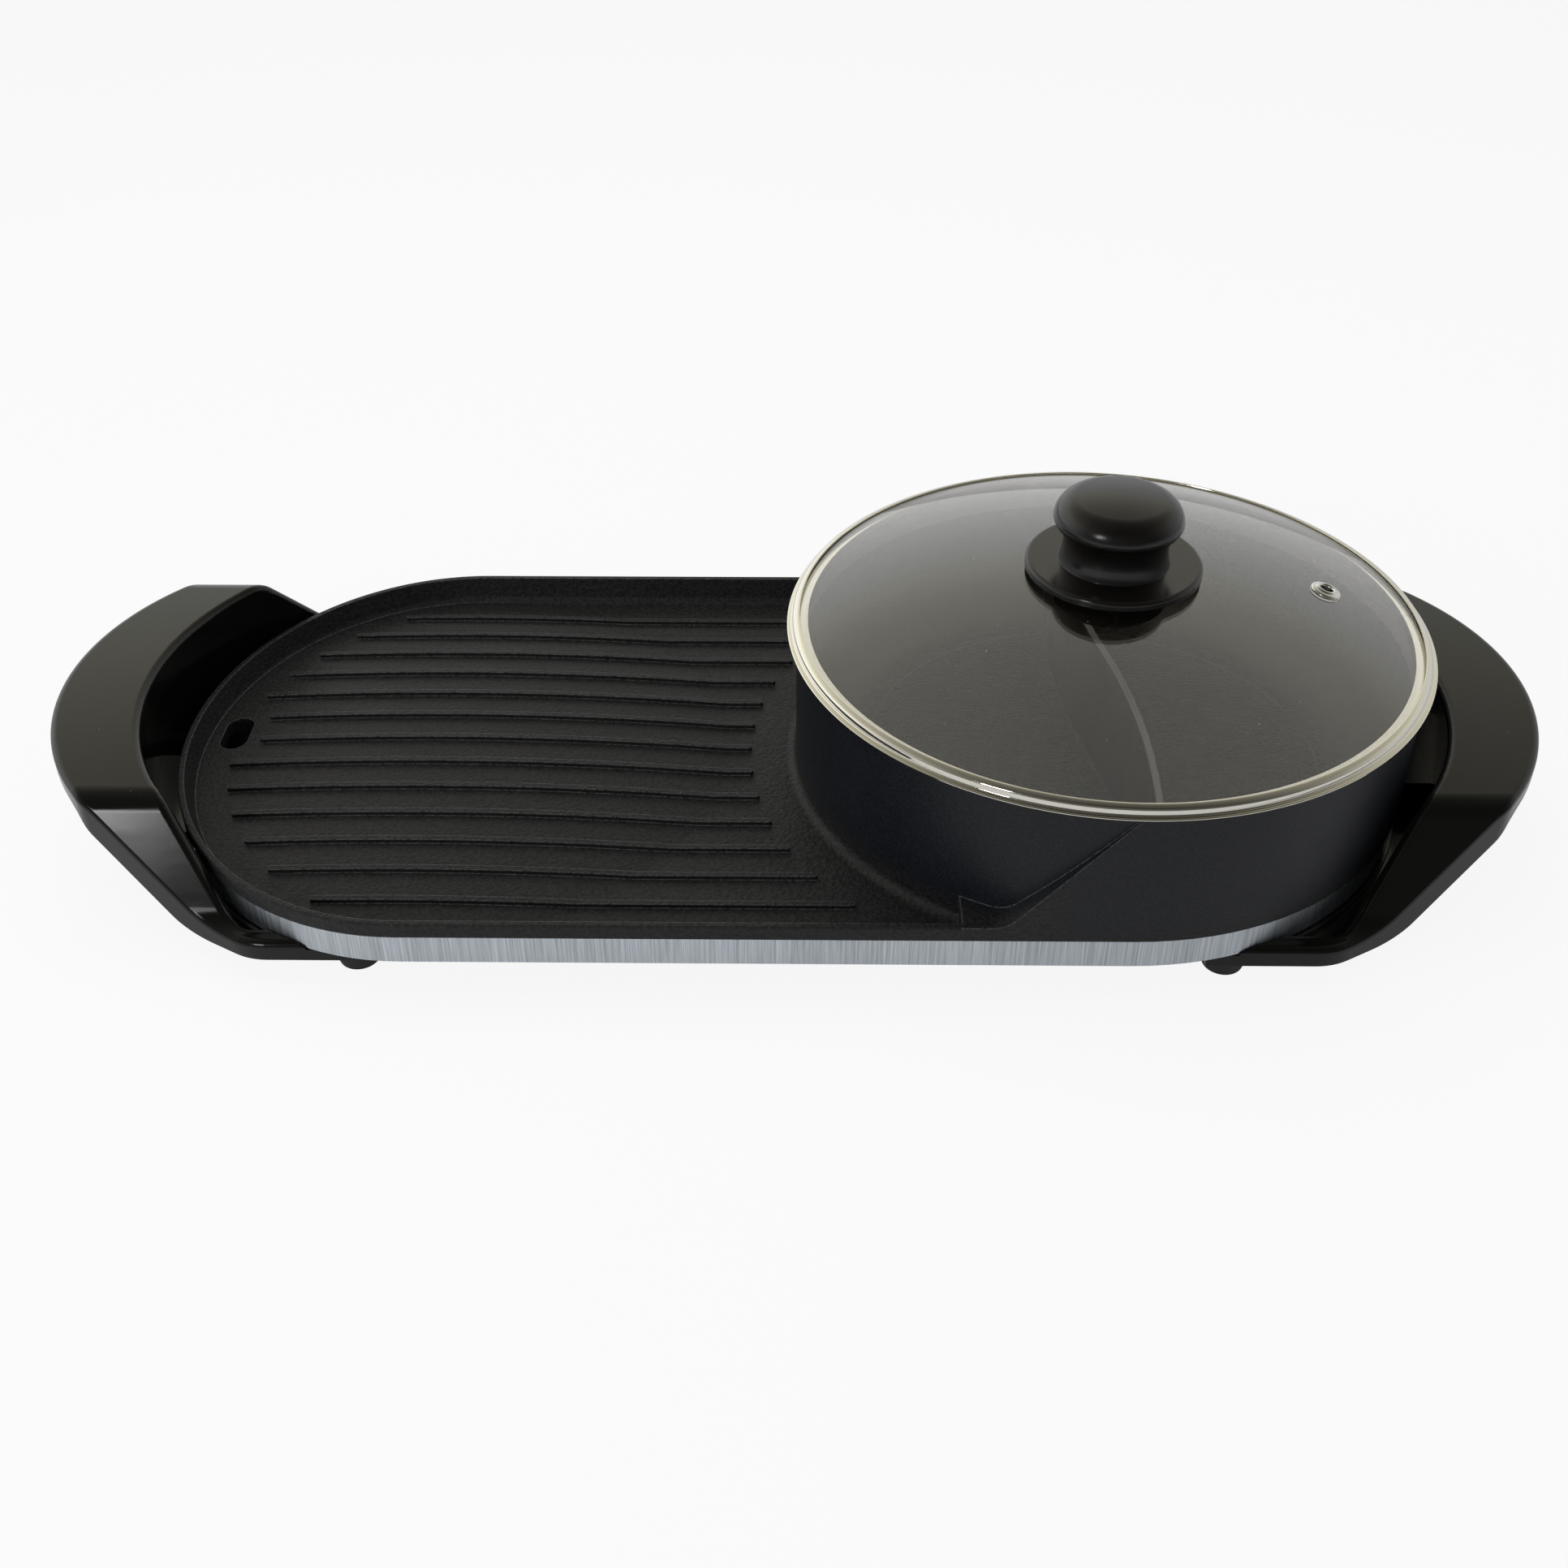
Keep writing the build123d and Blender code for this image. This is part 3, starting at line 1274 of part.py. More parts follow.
def four_of(screw, x, y):
    """The same screw at four mirrored places."""
    return Compound(children=[screw.moved(Location(spot)) for spot in corners_of(x, y, 0)])


screw_tip_z = pan_seat_z - fit_gap
foot_screw = pan_screw(
    foot_screw_radius, foot_screw_head, handle_screw_depth, foot_screw_recess, screw_tip_z
)
handle_screw = pan_screw(handle_screw_radius, handle_screw_head, handle_screw_depth, collar_z, screw_tip_z)
finish(four_of(foot_screw, foot_x, foot_y), "foot_screws")
finish(four_of(handle_screw, handle_screw_x, handle_screw_y), "handle_screws")
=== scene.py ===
from math import asin, cos, pi, radians, sin, sqrt

import bmesh
import bpy
from mathutils import Matrix, Vector


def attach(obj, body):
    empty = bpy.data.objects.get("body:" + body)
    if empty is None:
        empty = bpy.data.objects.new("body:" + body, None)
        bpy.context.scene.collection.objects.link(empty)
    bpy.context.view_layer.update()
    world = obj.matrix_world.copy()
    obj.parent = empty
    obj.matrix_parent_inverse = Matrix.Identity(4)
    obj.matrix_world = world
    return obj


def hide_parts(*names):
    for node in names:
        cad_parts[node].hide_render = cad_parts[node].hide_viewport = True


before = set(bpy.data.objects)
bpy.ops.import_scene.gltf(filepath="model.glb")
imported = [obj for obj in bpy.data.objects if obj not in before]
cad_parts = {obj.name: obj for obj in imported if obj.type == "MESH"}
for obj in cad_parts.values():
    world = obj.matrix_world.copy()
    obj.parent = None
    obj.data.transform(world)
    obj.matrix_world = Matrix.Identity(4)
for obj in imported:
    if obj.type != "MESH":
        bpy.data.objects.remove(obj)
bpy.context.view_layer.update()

# ---------------------------------------------------------------- measures, in metres
MM = 0.001
POT_X = 118 * MM
POT_WALL_RADIUS = 112.8 * MM
POT_FOOT_RADIUS = 118.2 * MM
SHELF_RADIUS = 122 * MM
SHELF_LOW_Z = 27 * MM
SHELF_HIGH_Z = 37 * MM
POT_FLOOR_Z = 24.4 * MM
FLOOR_RING_RADIUS = 88.2 * MM
DIVIDER_TOP_Z = 71.95 * MM
LID_LIP_RADIUS = 120 * MM
LID_LIP_Z = 83.2 * MM
GLASS_SPHERE = 316.76 * MM
GLASS_CENTRE_Z = -208.26 * MM
VENT_OFFSET = 80 * MM
SPIN_STEPS = 192
SHARP_EDGE = radians(38)

# ---------------------------------------------------------------- camera and light
CAMERA_PLACE = (0.0039, -0.5644, 0.4344)
CAMERA_PITCH, CAMERA_YAW, CAMERA_ROLL = radians(-37.14), radians(-0.73), radians(-0.14)
CAMERA_LENS = 40.26
SENSOR_WIDTH = 36
WHITE = (1, 1, 1, 1)
ROOM_LIGHT = (0.4, 0.4, 0.41, 1)
# What gloss mirrors: how high the ray points, and the colour there.
ROOM_GLOW = (
    (0.0, (3.0, 2.95, 2.6)),
    (0.12, (2.4, 2.304, 1.92)),
    (0.3, (1.5, 1.44, 1.2)),
    (0.55, (0.8, 0.768, 0.64)),
    (0.8, (0.34, 0.3264, 0.272)),
    (1.0, (0.1, 0.096, 0.085)),
)
FLOOR_SIZE = 8
FLOOR_COLOUR = (0.62, 0.62, 0.62, 1)
FLOOR_GLOW_SEEN = 0.9
FLOOR_GLOW_MIRRORED = 0.22
# Name, place, target, width, height, power, and whether gloss and glass show the lamp.
LAMPS = (
    ("overhead_lamp", (-0.35, 0.2, 1.25), (-0.05, 0, 0.03), 1.3, 1.0, 9.5, False),
    ("fill_lamp", (-0.95, -0.95, 0.5), (0, 0, 0.05), 0.8, 0.6, 4.2, False),
    ("front_left_lamp", (-0.76, -1.05, 0.7), (-0.2, -0.09, 0.04), 0.24, 0.24, 2.4, True),
    ("right_lamp", (1.05, 0.25, 0.75), (0.2, 0, 0.05), 0.3, 0.5, 1.2, False),
)


def aim_camera():
    """The studio camera, in front of the cooker and above it."""
    ahead = Vector((sin(CAMERA_YAW) * cos(CAMERA_PITCH), cos(CAMERA_YAW) * cos(CAMERA_PITCH), sin(CAMERA_PITCH)))
    right = ahead.cross(Vector((0, 0, 1))).normalized()
    up = right.cross(ahead)
    turned_right = right * cos(CAMERA_ROLL) + up * sin(CAMERA_ROLL)
    turned_up = up * cos(CAMERA_ROLL) - right * sin(CAMERA_ROLL)
    data = bpy.data.cameras.new("studio_camera")
    data.sensor_fit = "HORIZONTAL"
    data.sensor_width = SENSOR_WIDTH
    data.lens = CAMERA_LENS
    data.clip_start = 10 * MM
    camera = bpy.data.objects.new("studio_camera", data)
    bpy.context.scene.collection.objects.link(camera)
    turn = Matrix((turned_right, turned_up, -ahead)).transposed().to_4x4()
    camera.matrix_world = Matrix.Translation(CAMERA_PLACE) @ turn
    bpy.context.scene.camera = camera


def softbox(name, place, target, width, height, power, mirrored):
    """A rectangular lamp that faces a target, and that gloss and glass show or don't."""
    data = bpy.data.lights.new(name, "AREA")
    data.shape = "RECTANGLE"
    data.size = width
    data.size_y = height
    data.energy = power
    lamp = bpy.data.objects.new(name, data)
    bpy.context.scene.collection.objects.link(lamp)
    facing = (Vector(target) - Vector(place)).to_track_quat("-Z", "Y")
    lamp.matrix_world = Matrix.Translation(place) @ facing.to_matrix().to_4x4()
    lamp.visible_glossy = mirrored
    lamp.visible_transmission = mirrored


# ---------------------------------------------------------------- nodes
def add_node(tree, kind, inputs=None, **settings):
    """A node with its settings, and its inputs given as values or linked from sockets."""
    made = tree.nodes.new(kind)
    for name, value in settings.items():
        setattr(made, name, value)
    for name, value in (inputs or {}).items():
        if isinstance(value, bpy.types.NodeSocket):
            tree.links.new(value, made.inputs[name])
        else:
            made.inputs[name].default_value = value
    return made


def calc(tree, operation, first, second=0.0, clamp=False):
    """A sum, product or other figure from one or two values."""
    made = add_node(tree, "ShaderNodeMath", {0: first, 1: second}, operation=operation, use_clamp=clamp)
    return made.outputs[0]


def times(tree, first, second):
    """Two values multiplied."""
    return calc(tree, "MULTIPLY", first, second)


def ramp(tree, value, low, high):
    """0 below low, 1 above high, smooth between."""
    inputs = {"Value": value, "From Min": low, "From Max": high, "To Min": 0.0, "To Max": 1.0}
    return add_node(tree, "ShaderNodeMapRange", inputs, clamp=True, interpolation_type="SMOOTHSTEP").outputs[0]


def mix_colour(tree, mask, first, second):
    """Two colours mixed by a mask."""
    return add_node(tree, "ShaderNodeMix", {0: mask, 6: first, 7: second}, data_type="RGBA").outputs[2]


def mix_value(tree, mask, first, second):
    """Two numbers mixed by a mask."""
    return add_node(tree, "ShaderNodeMix", {0: mask, 2: first, 3: second}, data_type="FLOAT").outputs[0]


def shaded(tree, colour, strength):
    """A colour made lighter or darker."""
    return add_node(tree, "ShaderNodeVectorMath", {0: colour, "Scale": strength}, operation="SCALE").outputs[0]


def object_place(tree):
    """The place on the piece, as a vector."""
    return add_node(tree, "ShaderNodeTexCoord").outputs["Object"]


def parts_of(tree, vector):
    """A vector's three parts."""
    return add_node(tree, "ShaderNodeSeparateXYZ", {0: vector}).outputs


def stretched(tree, vector, scale):
    """A place scaled by its own amount along each axis."""
    return add_node(tree, "ShaderNodeMapping", {"Vector": vector, "Scale": scale}).outputs[0]


def noise(tree, vector, scale, detail=3.0, roughness=0.55):
    """Fractal noise about 0.5."""
    inputs = {"Vector": vector, "Scale": scale, "Detail": detail, "Roughness": roughness}
    return add_node(tree, "ShaderNodeTexNoise", inputs).outputs[0]


def seen_directly(tree, path):
    """1 where the camera sees the surface, also through glass."""
    return calc(tree, "MAXIMUM", path.outputs["Is Camera Ray"], path.outputs["Is Transmission Ray"])


# ---------------------------------------------------------------- studio
def make_surround():
    """White to the camera, and to gloss a pale room that darkens overhead, in front and to the right."""
    world = bpy.data.worlds.new("studio")
    bpy.context.scene.world = world
    world.use_nodes = True
    tree = world.node_tree
    tree.nodes.clear()
    path = add_node(tree, "ShaderNodeLightPath")
    toward = parts_of(tree, add_node(tree, "ShaderNodeTexCoord").outputs["Generated"])
    glow = add_node(tree, "ShaderNodeValToRGB", {0: toward[2]})
    glow.color_ramp.interpolation = "B_SPLINE"
    stops = glow.color_ramp.elements
    for height, _ in ROOM_GLOW[1:-1]:
        stops.new(height)
    for stop, (_, colour) in zip(stops, ROOM_GLOW):
        stop.color = (*colour, 1)
    from_behind = mix_value(tree, ramp(tree, toward[1], -0.65, 0.45), 0.14, 1.0)
    from_side = mix_value(tree, ramp(tree, toward[0], -0.75, 0.75), 1.2, 0.66)
    room = shaded(tree, glow.outputs[0], times(tree, from_behind, from_side))
    lit = mix_colour(tree, path.outputs["Is Glossy Ray"], ROOM_LIGHT, room)
    surround = mix_colour(tree, seen_directly(tree, path), lit, WHITE)
    back = add_node(tree, "ShaderNodeBackground", {"Color": surround, "Strength": 1.0})
    add_node(tree, "ShaderNodeOutputWorld", {"Surface": back.outputs[0]})


def make_floor():
    """A plain pale floor that keeps its shadow."""
    bpy.ops.mesh.primitive_plane_add(size=FLOOR_SIZE, location=(0, 0, 0))
    floor = bpy.context.object
    floor.name = "floor"
    sheet = bpy.data.materials.new("floor_sheet")
    sheet.use_nodes = True
    tree = sheet.node_tree
    tree.nodes.clear()
    lit = add_node(tree, "ShaderNodeBsdfDiffuse", {"Color": FLOOR_COLOUR})
    glow = add_node(tree, "ShaderNodeEmission", {"Color": WHITE, "Strength": 1.0})
    path = add_node(tree, "ShaderNodeLightPath")
    seen = times(tree, seen_directly(tree, path), FLOOR_GLOW_SEEN)
    mirrored = times(tree, path.outputs["Is Glossy Ray"], FLOOR_GLOW_MIRRORED)
    share = calc(tree, "MAXIMUM", seen, mirrored)
    surface = add_node(tree, "ShaderNodeMixShader", {0: share, 1: lit.outputs[0], 2: glow.outputs[0]})
    add_node(tree, "ShaderNodeOutputMaterial", {"Surface": surface.outputs[0]})
    floor.data.materials.append(sheet)


# ---------------------------------------------------------------- shared effects
def effect(name, inputs, outputs):
    """An empty node group with named sockets."""
    tree = bpy.data.node_groups.new(name, "ShaderNodeTree")
    kinds = {"value": "NodeSocketFloat", "colour": "NodeSocketColor"}
    for label, kind, default in inputs:
        socket = tree.interface.new_socket(label, in_out="INPUT", socket_type=kinds[kind])
        socket.default_value = default
    for label, kind in outputs:
        tree.interface.new_socket(label, in_out="OUTPUT", socket_type=kinds[kind])
    return tree, tree.nodes.new("NodeGroupInput").outputs, tree.nodes.new("NodeGroupOutput").inputs


SKIN = [("Colour", "colour"), ("Roughness", "value"), ("Height", "value")]


def give_skin(tree, result, colour, rough, height):
    """A skin's colour, roughness and height on a group's outputs."""
    tree.links.new(colour, result["Colour"])
    tree.links.new(rough, result["Roughness"])
    tree.links.new(height, result["Height"])


def coated_cast():
    """Non-stick coating on a casting: pebbled skin with faint flecks."""
    tree, given, result = effect(
        "coated_cast",
        [
            ("Coat Colour", "colour", (0.006, 0.006, 0.007, 1)),
            ("Fleck Colour", "colour", (0.05, 0.05, 0.055, 1)),
            ("Fleck Amount", "value", 0.3),
            ("Pebble Scale", "value", 900.0),
            ("Pebble Depth", "value", 1.0),
            ("Roughness", "value", 0.45),
        ],
        SKIN,
    )
    place = object_place(tree)
    pebble = noise(tree, place, given["Pebble Scale"], 2.0, 0.5)
    broad = noise(tree, place, 38.0)
    cells = add_node(tree, "ShaderNodeTexVoronoi", {"Vector": place, "Scale": 1500.0}, feature="F1")
    rare = ramp(tree, noise(tree, place, 420.0, 1.0), 0.52, 0.7)
    fleck = times(tree, ramp(tree, cells.outputs["Distance"], 0.24, 0.08), rare)
    fleck = times(tree, fleck, given["Fleck Amount"])
    grain_shade = mix_value(tree, ramp(tree, pebble, 0.32, 0.68), 0.68, 1.32)
    shade = times(tree, mix_value(tree, broad, 0.82, 1.18), grain_shade)
    colour = mix_colour(tree, fleck, shaded(tree, given["Coat Colour"], shade), given["Fleck Colour"])
    uneven = times(tree, calc(tree, "SUBTRACT", broad, 0.5), 0.16)
    rough = calc(tree, "ADD", given["Roughness"], uneven)
    rough = calc(tree, "SUBTRACT", rough, times(tree, fleck, 0.15), clamp=True)
    give_skin(tree, result, colour, rough, times(tree, pebble, given["Pebble Depth"]))
    return tree


def moulded_plastic():
    """Moulded plastic: faint flow marks, orange peel and handling haze."""
    tree, given, result = effect(
        "moulded_plastic",
        [
            ("Base Colour", "colour", (0.008, 0.008, 0.008, 1)),
            ("Roughness", "value", 0.15),
            ("Haze", "value", 0.1),
            ("Peel Scale", "value", 420.0),
            ("Peel Depth", "value", 0.15),
        ],
        SKIN,
    )
    place = object_place(tree)
    broad = noise(tree, place, 22.0, 4.0, 0.6)
    smear = noise(tree, stretched(tree, place, (30, 30, 130)), 1.0)
    haze = times(tree, ramp(tree, smear, 0.45, 0.75), given["Haze"])
    uneven = times(tree, calc(tree, "SUBTRACT", broad, 0.5), given["Haze"])
    rough = calc(tree, "ADD", calc(tree, "ADD", given["Roughness"], haze), uneven, clamp=True)
    colour = shaded(tree, given["Base Colour"], mix_value(tree, broad, 0.85, 1.15))
    peel = times(tree, noise(tree, place, given["Peel Scale"], 2.0), given["Peel Depth"])
    give_skin(tree, result, colour, rough, peel)
    return tree


def worked_metal():
    """Metal with a brushed or drawn grain along the upright direction."""
    tree, given, result = effect(
        "worked_metal",
        [
            ("Metal Colour", "colour", (0.5, 0.5, 0.5, 1)),
            ("Grain Across", "value", 2200.0),
            ("Grain Along", "value", 25.0),
            ("Contrast", "value", 0.3),
            ("Roughness", "value", 0.3),
            ("Tarnish", "value", 0.1),
        ],
        SKIN,
    )
    place = object_place(tree)
    parts = parts_of(tree, place)
    scales = (given["Grain Across"], given["Grain Across"], given["Grain Along"])
    drawn_out = {index: times(tree, parts[index], scale) for index, scale in enumerate(scales)}
    grain = noise(tree, add_node(tree, "ShaderNodeCombineXYZ", drawn_out).outputs[0], 1.0, 4.0, 0.65)
    broad = noise(tree, place, 14.0)
    centred = calc(tree, "SUBTRACT", grain, 0.5)
    shade = calc(tree, "ADD", 1.0, times(tree, centred, given["Contrast"]))
    shade = calc(tree, "SUBTRACT", shade, times(tree, ramp(tree, broad, 0.4, 0.75), given["Tarnish"]))
    rough = calc(tree, "ADD", given["Roughness"], times(tree, centred, 0.25), clamp=True)
    give_skin(tree, result, shaded(tree, given["Metal Colour"], shade), rough, grain)
    return tree


def settled_dust():
    """Fine pale specks that lie on upward faces."""
    tree, given, result = effect(
        "settled_dust",
        [
            ("Colour", "colour", (0.01, 0.01, 0.01, 1)),
            ("Dust Colour", "colour", (0.4, 0.39, 0.36, 1)),
            ("Amount", "value", 0.3),
            ("Speck Scale", "value", 260.0),
        ],
        [("Colour", "colour"), ("Mask", "value")],
    )
    inputs = {"Vector": object_place(tree), "Scale": given["Speck Scale"]}
    cells = add_node(tree, "ShaderNodeTexVoronoi", inputs, feature="F1")
    pick = add_node(tree, "ShaderNodeSeparateColor", {0: cells.outputs["Color"]})
    speck = ramp(tree, cells.outputs["Distance"], 0.09, 0.03)
    speck = times(tree, speck, ramp(tree, pick.outputs[0], 0.8, 0.95))
    facing = parts_of(tree, add_node(tree, "ShaderNodeNewGeometry").outputs["Normal"])
    mask = times(tree, speck, ramp(tree, facing[2], 0.2, 0.8))
    mask = calc(tree, "MULTIPLY", mask, given["Amount"], clamp=True)
    tree.links.new(mix_colour(tree, mask, given["Colour"], given["Dust Colour"]), result["Colour"])
    tree.links.new(mask, result["Mask"])
    return tree


CAST = coated_cast()
PLASTIC = moulded_plastic()
METAL = worked_metal()
DUST = settled_dust()


# ---------------------------------------------------------------- spun pieces
def dome_height(radius):
    """Height of the glass's outer face at a distance from the lid's axis."""
    return GLASS_CENTRE_Z + sqrt(GLASS_SPHERE**2 - radius**2)


def spun(name, section, place):
    """A closed section, in millimetres out from the axis and up, turned about the axis and put in place."""
    shape = bmesh.new()
    spots = [shape.verts.new((out * MM, 0, up * MM)) for out, up in section]
    rim = [shape.edges.new(pair) for pair in zip(spots, spots[1:] + spots[:1])]
    turn = {"cent": (0, 0, 0), "axis": (0, 0, 1), "angle": 2 * pi, "steps": SPIN_STEPS, "use_merge": True}
    bmesh.ops.spin(shape, geom=spots + rim, **turn)
    bmesh.ops.remove_doubles(shape, verts=shape.verts, dist=0.001 * MM)
    bmesh.ops.recalc_face_normals(shape, faces=shape.faces)
    for face in shape.faces:
        face.smooth = True
    for edge in shape.edges:
        edge.smooth = edge.calc_face_angle(0) < SHARP_EDGE
    shape.transform(place)
    mesh = bpy.data.meshes.new(name)
    shape.to_mesh(mesh)
    shape.free()
    piece = bpy.data.objects.new(name, mesh)
    bpy.context.scene.collection.objects.link(piece)
    return piece


def lid_ring():
    """Pressed ring: its edge curls over the glass, a lip rests on the pot and a skirt hangs inside."""
    lip, base = LID_LIP_RADIUS / MM, LID_LIP_Z / MM
    curl = [(lip - 4.74, 86.93), (lip - 4.8, 87.12), (lip - 4.7, 87.36), (lip - 4.4, 87.47)]
    brow = [(lip - 3.7, 87.25), (lip - 2.9, 86.93), (lip - 2.4, 86.6), (lip - 2.1, 86.15), (lip - 2, 85.6)]
    cove = [(lip - 2, 84.7), (lip - 1.9, 84.25), (lip - 1.6, 83.97), (lip - 1.2, 83.9), (lip - 0.5, 83.9)]
    edge = [(lip - 0.2, 83.82), (lip - 0.02, 83.62), (lip - 0.04, 83.36), (lip - 0.3, base), (lip - 7.6, base)]
    skirt = [(lip - 7.6, 80.3), (lip - 7.75, 80.02), (lip - 8.1, 80), (lip - 8.3, 80.2), (lip - 8.3, 83.9)]
    glass_seat = [(lip - 2.7, 83.9), (lip - 2.7, 86.05)]
    return spun("lid_ring", curl + brow + cove + edge + skirt + glass_seat, Matrix.Translation((POT_X, 0, 0)))


def vent_eyelet():
    """Rolled eyelet: a raised lip round the bore, a flat flange on the glass and a flange below it."""
    roll = [(2.4, -2.9), (2.4, 0.5), (2.48, 0.95), (2.75, 1.27), (3.15, 1.39), (3.55, 1.3), (3.85, 1.05)]
    flange = [(4.1, 0.82), (4.5, 0.74), (5.0, 0.68), (5.4, 0.5), (5.66, 0.25), (5.7, 0.05), (3.9, 0.02)]
    under = [(3.9, -2.26), (5.6, -2.3), (5.74, -2.5), (5.7, -2.75), (5.5, -2.9)]
    tilt = Matrix.Rotation(asin(VENT_OFFSET / GLASS_SPHERE), 4, "Y")
    on_glass = Matrix.Translation((POT_X + VENT_OFFSET, 0, dome_height(VENT_OFFSET)))
    return spun("vent_eyelet", roll + flange + under, on_glass @ tilt)


# ---------------------------------------------------------------- materials
def new_finish(name, **constants):
    """A material with one Principled shader, whose constants are set on its own sockets."""
    made = bpy.data.materials.new(name)
    made.use_nodes = True
    tree = made.node_tree
    shader = tree.nodes["Principled BSDF"]
    for label, value in constants.items():
        shader.inputs[label.replace("_", " ")].default_value = value
    return made, tree, shader


def use_effect(tree, group, **values):
    """An effect placed in a material, with its own values."""
    made = tree.nodes.new("ShaderNodeGroup")
    made.node_tree = group
    for label, value in values.items():
        socket = made.inputs[label.replace("_", " ")]
        if isinstance(value, bpy.types.NodeSocket):
            tree.links.new(value, socket)
        else:
            socket.default_value = value
    return made.outputs


def soft_normal(tree, radius):
    """A normal that makes edges look rounded."""
    return add_node(tree, "ShaderNodeBevel", {"Radius": radius}, samples=4).outputs[0]


def wear_skin(tree, shader, colour, rough, height, depth, edge=0.0):
    """A skin on a shader, its bump's depth and rounded edges in metres."""
    tree.links.new(colour, shader.inputs["Base Color"])
    tree.links.new(rough, shader.inputs["Roughness"])
    bump = add_node(tree, "ShaderNodeBump", {"Height": height, "Distance": depth, "Strength": 1.0})
    if edge:
        tree.links.new(soft_normal(tree, edge), bump.inputs["Normal"])
    tree.links.new(bump.outputs[0], shader.inputs["Normal"])


def dusted(tree, colour, amount, scale=260.0):
    """A colour with settled dust."""
    return use_effect(tree, DUST, Colour=colour, Amount=amount, Speck_Scale=scale)["Colour"]


def plastic(name, colour, rough, haze, peel_scale, peel, depth=0.02 * MM, dust=0.0, shine=0.5):
    """A moulded plastic finish."""
    made, tree, shader = new_finish(name, Specular_IOR_Level=shine)
    skin = use_effect(
        tree,
        PLASTIC,
        Base_Colour=(*colour, 1),
        Roughness=rough,
        Haze=haze,
        Peel_Scale=peel_scale,
        Peel_Depth=peel,
    )
    tone = dusted(tree, skin["Colour"], dust)
    wear_skin(tree, shader, tone, skin["Roughness"], skin["Height"], depth, 0.4 * MM)
    return made


def metal(name, colour, rough, across, along, contrast, tarnish, depth=0.01 * MM):
    """A metal finish with a grain."""
    made, tree, shader = new_finish(name, Metallic=1.0)
    skin = use_effect(
        tree,
        METAL,
        Metal_Colour=(*colour, 1),
        Grain_Across=across,
        Grain_Along=along,
        Contrast=contrast,
        Roughness=rough,
        Tarnish=tarnish,
    )
    wear_skin(tree, shader, skin["Colour"], skin["Roughness"], skin["Height"], depth)
    return made


def painted_edge_highlight(tree, place):
    """Painted highlight along sharp edges, broken up by noise, where the rounded normal leaves the true one."""
    true_face = add_node(tree, "ShaderNodeNewGeometry").outputs["Normal"]
    normals = {0: soft_normal(tree, 0.6 * MM), 1: true_face}
    match = add_node(tree, "ShaderNodeVectorMath", normals, operation="DOT_PRODUCT")
    edge = ramp(tree, match.outputs["Value"], 0.995, 0.88)
    return times(tree, edge, ramp(tree, noise(tree, place, 900.0, 2.0), 0.3, 0.6))


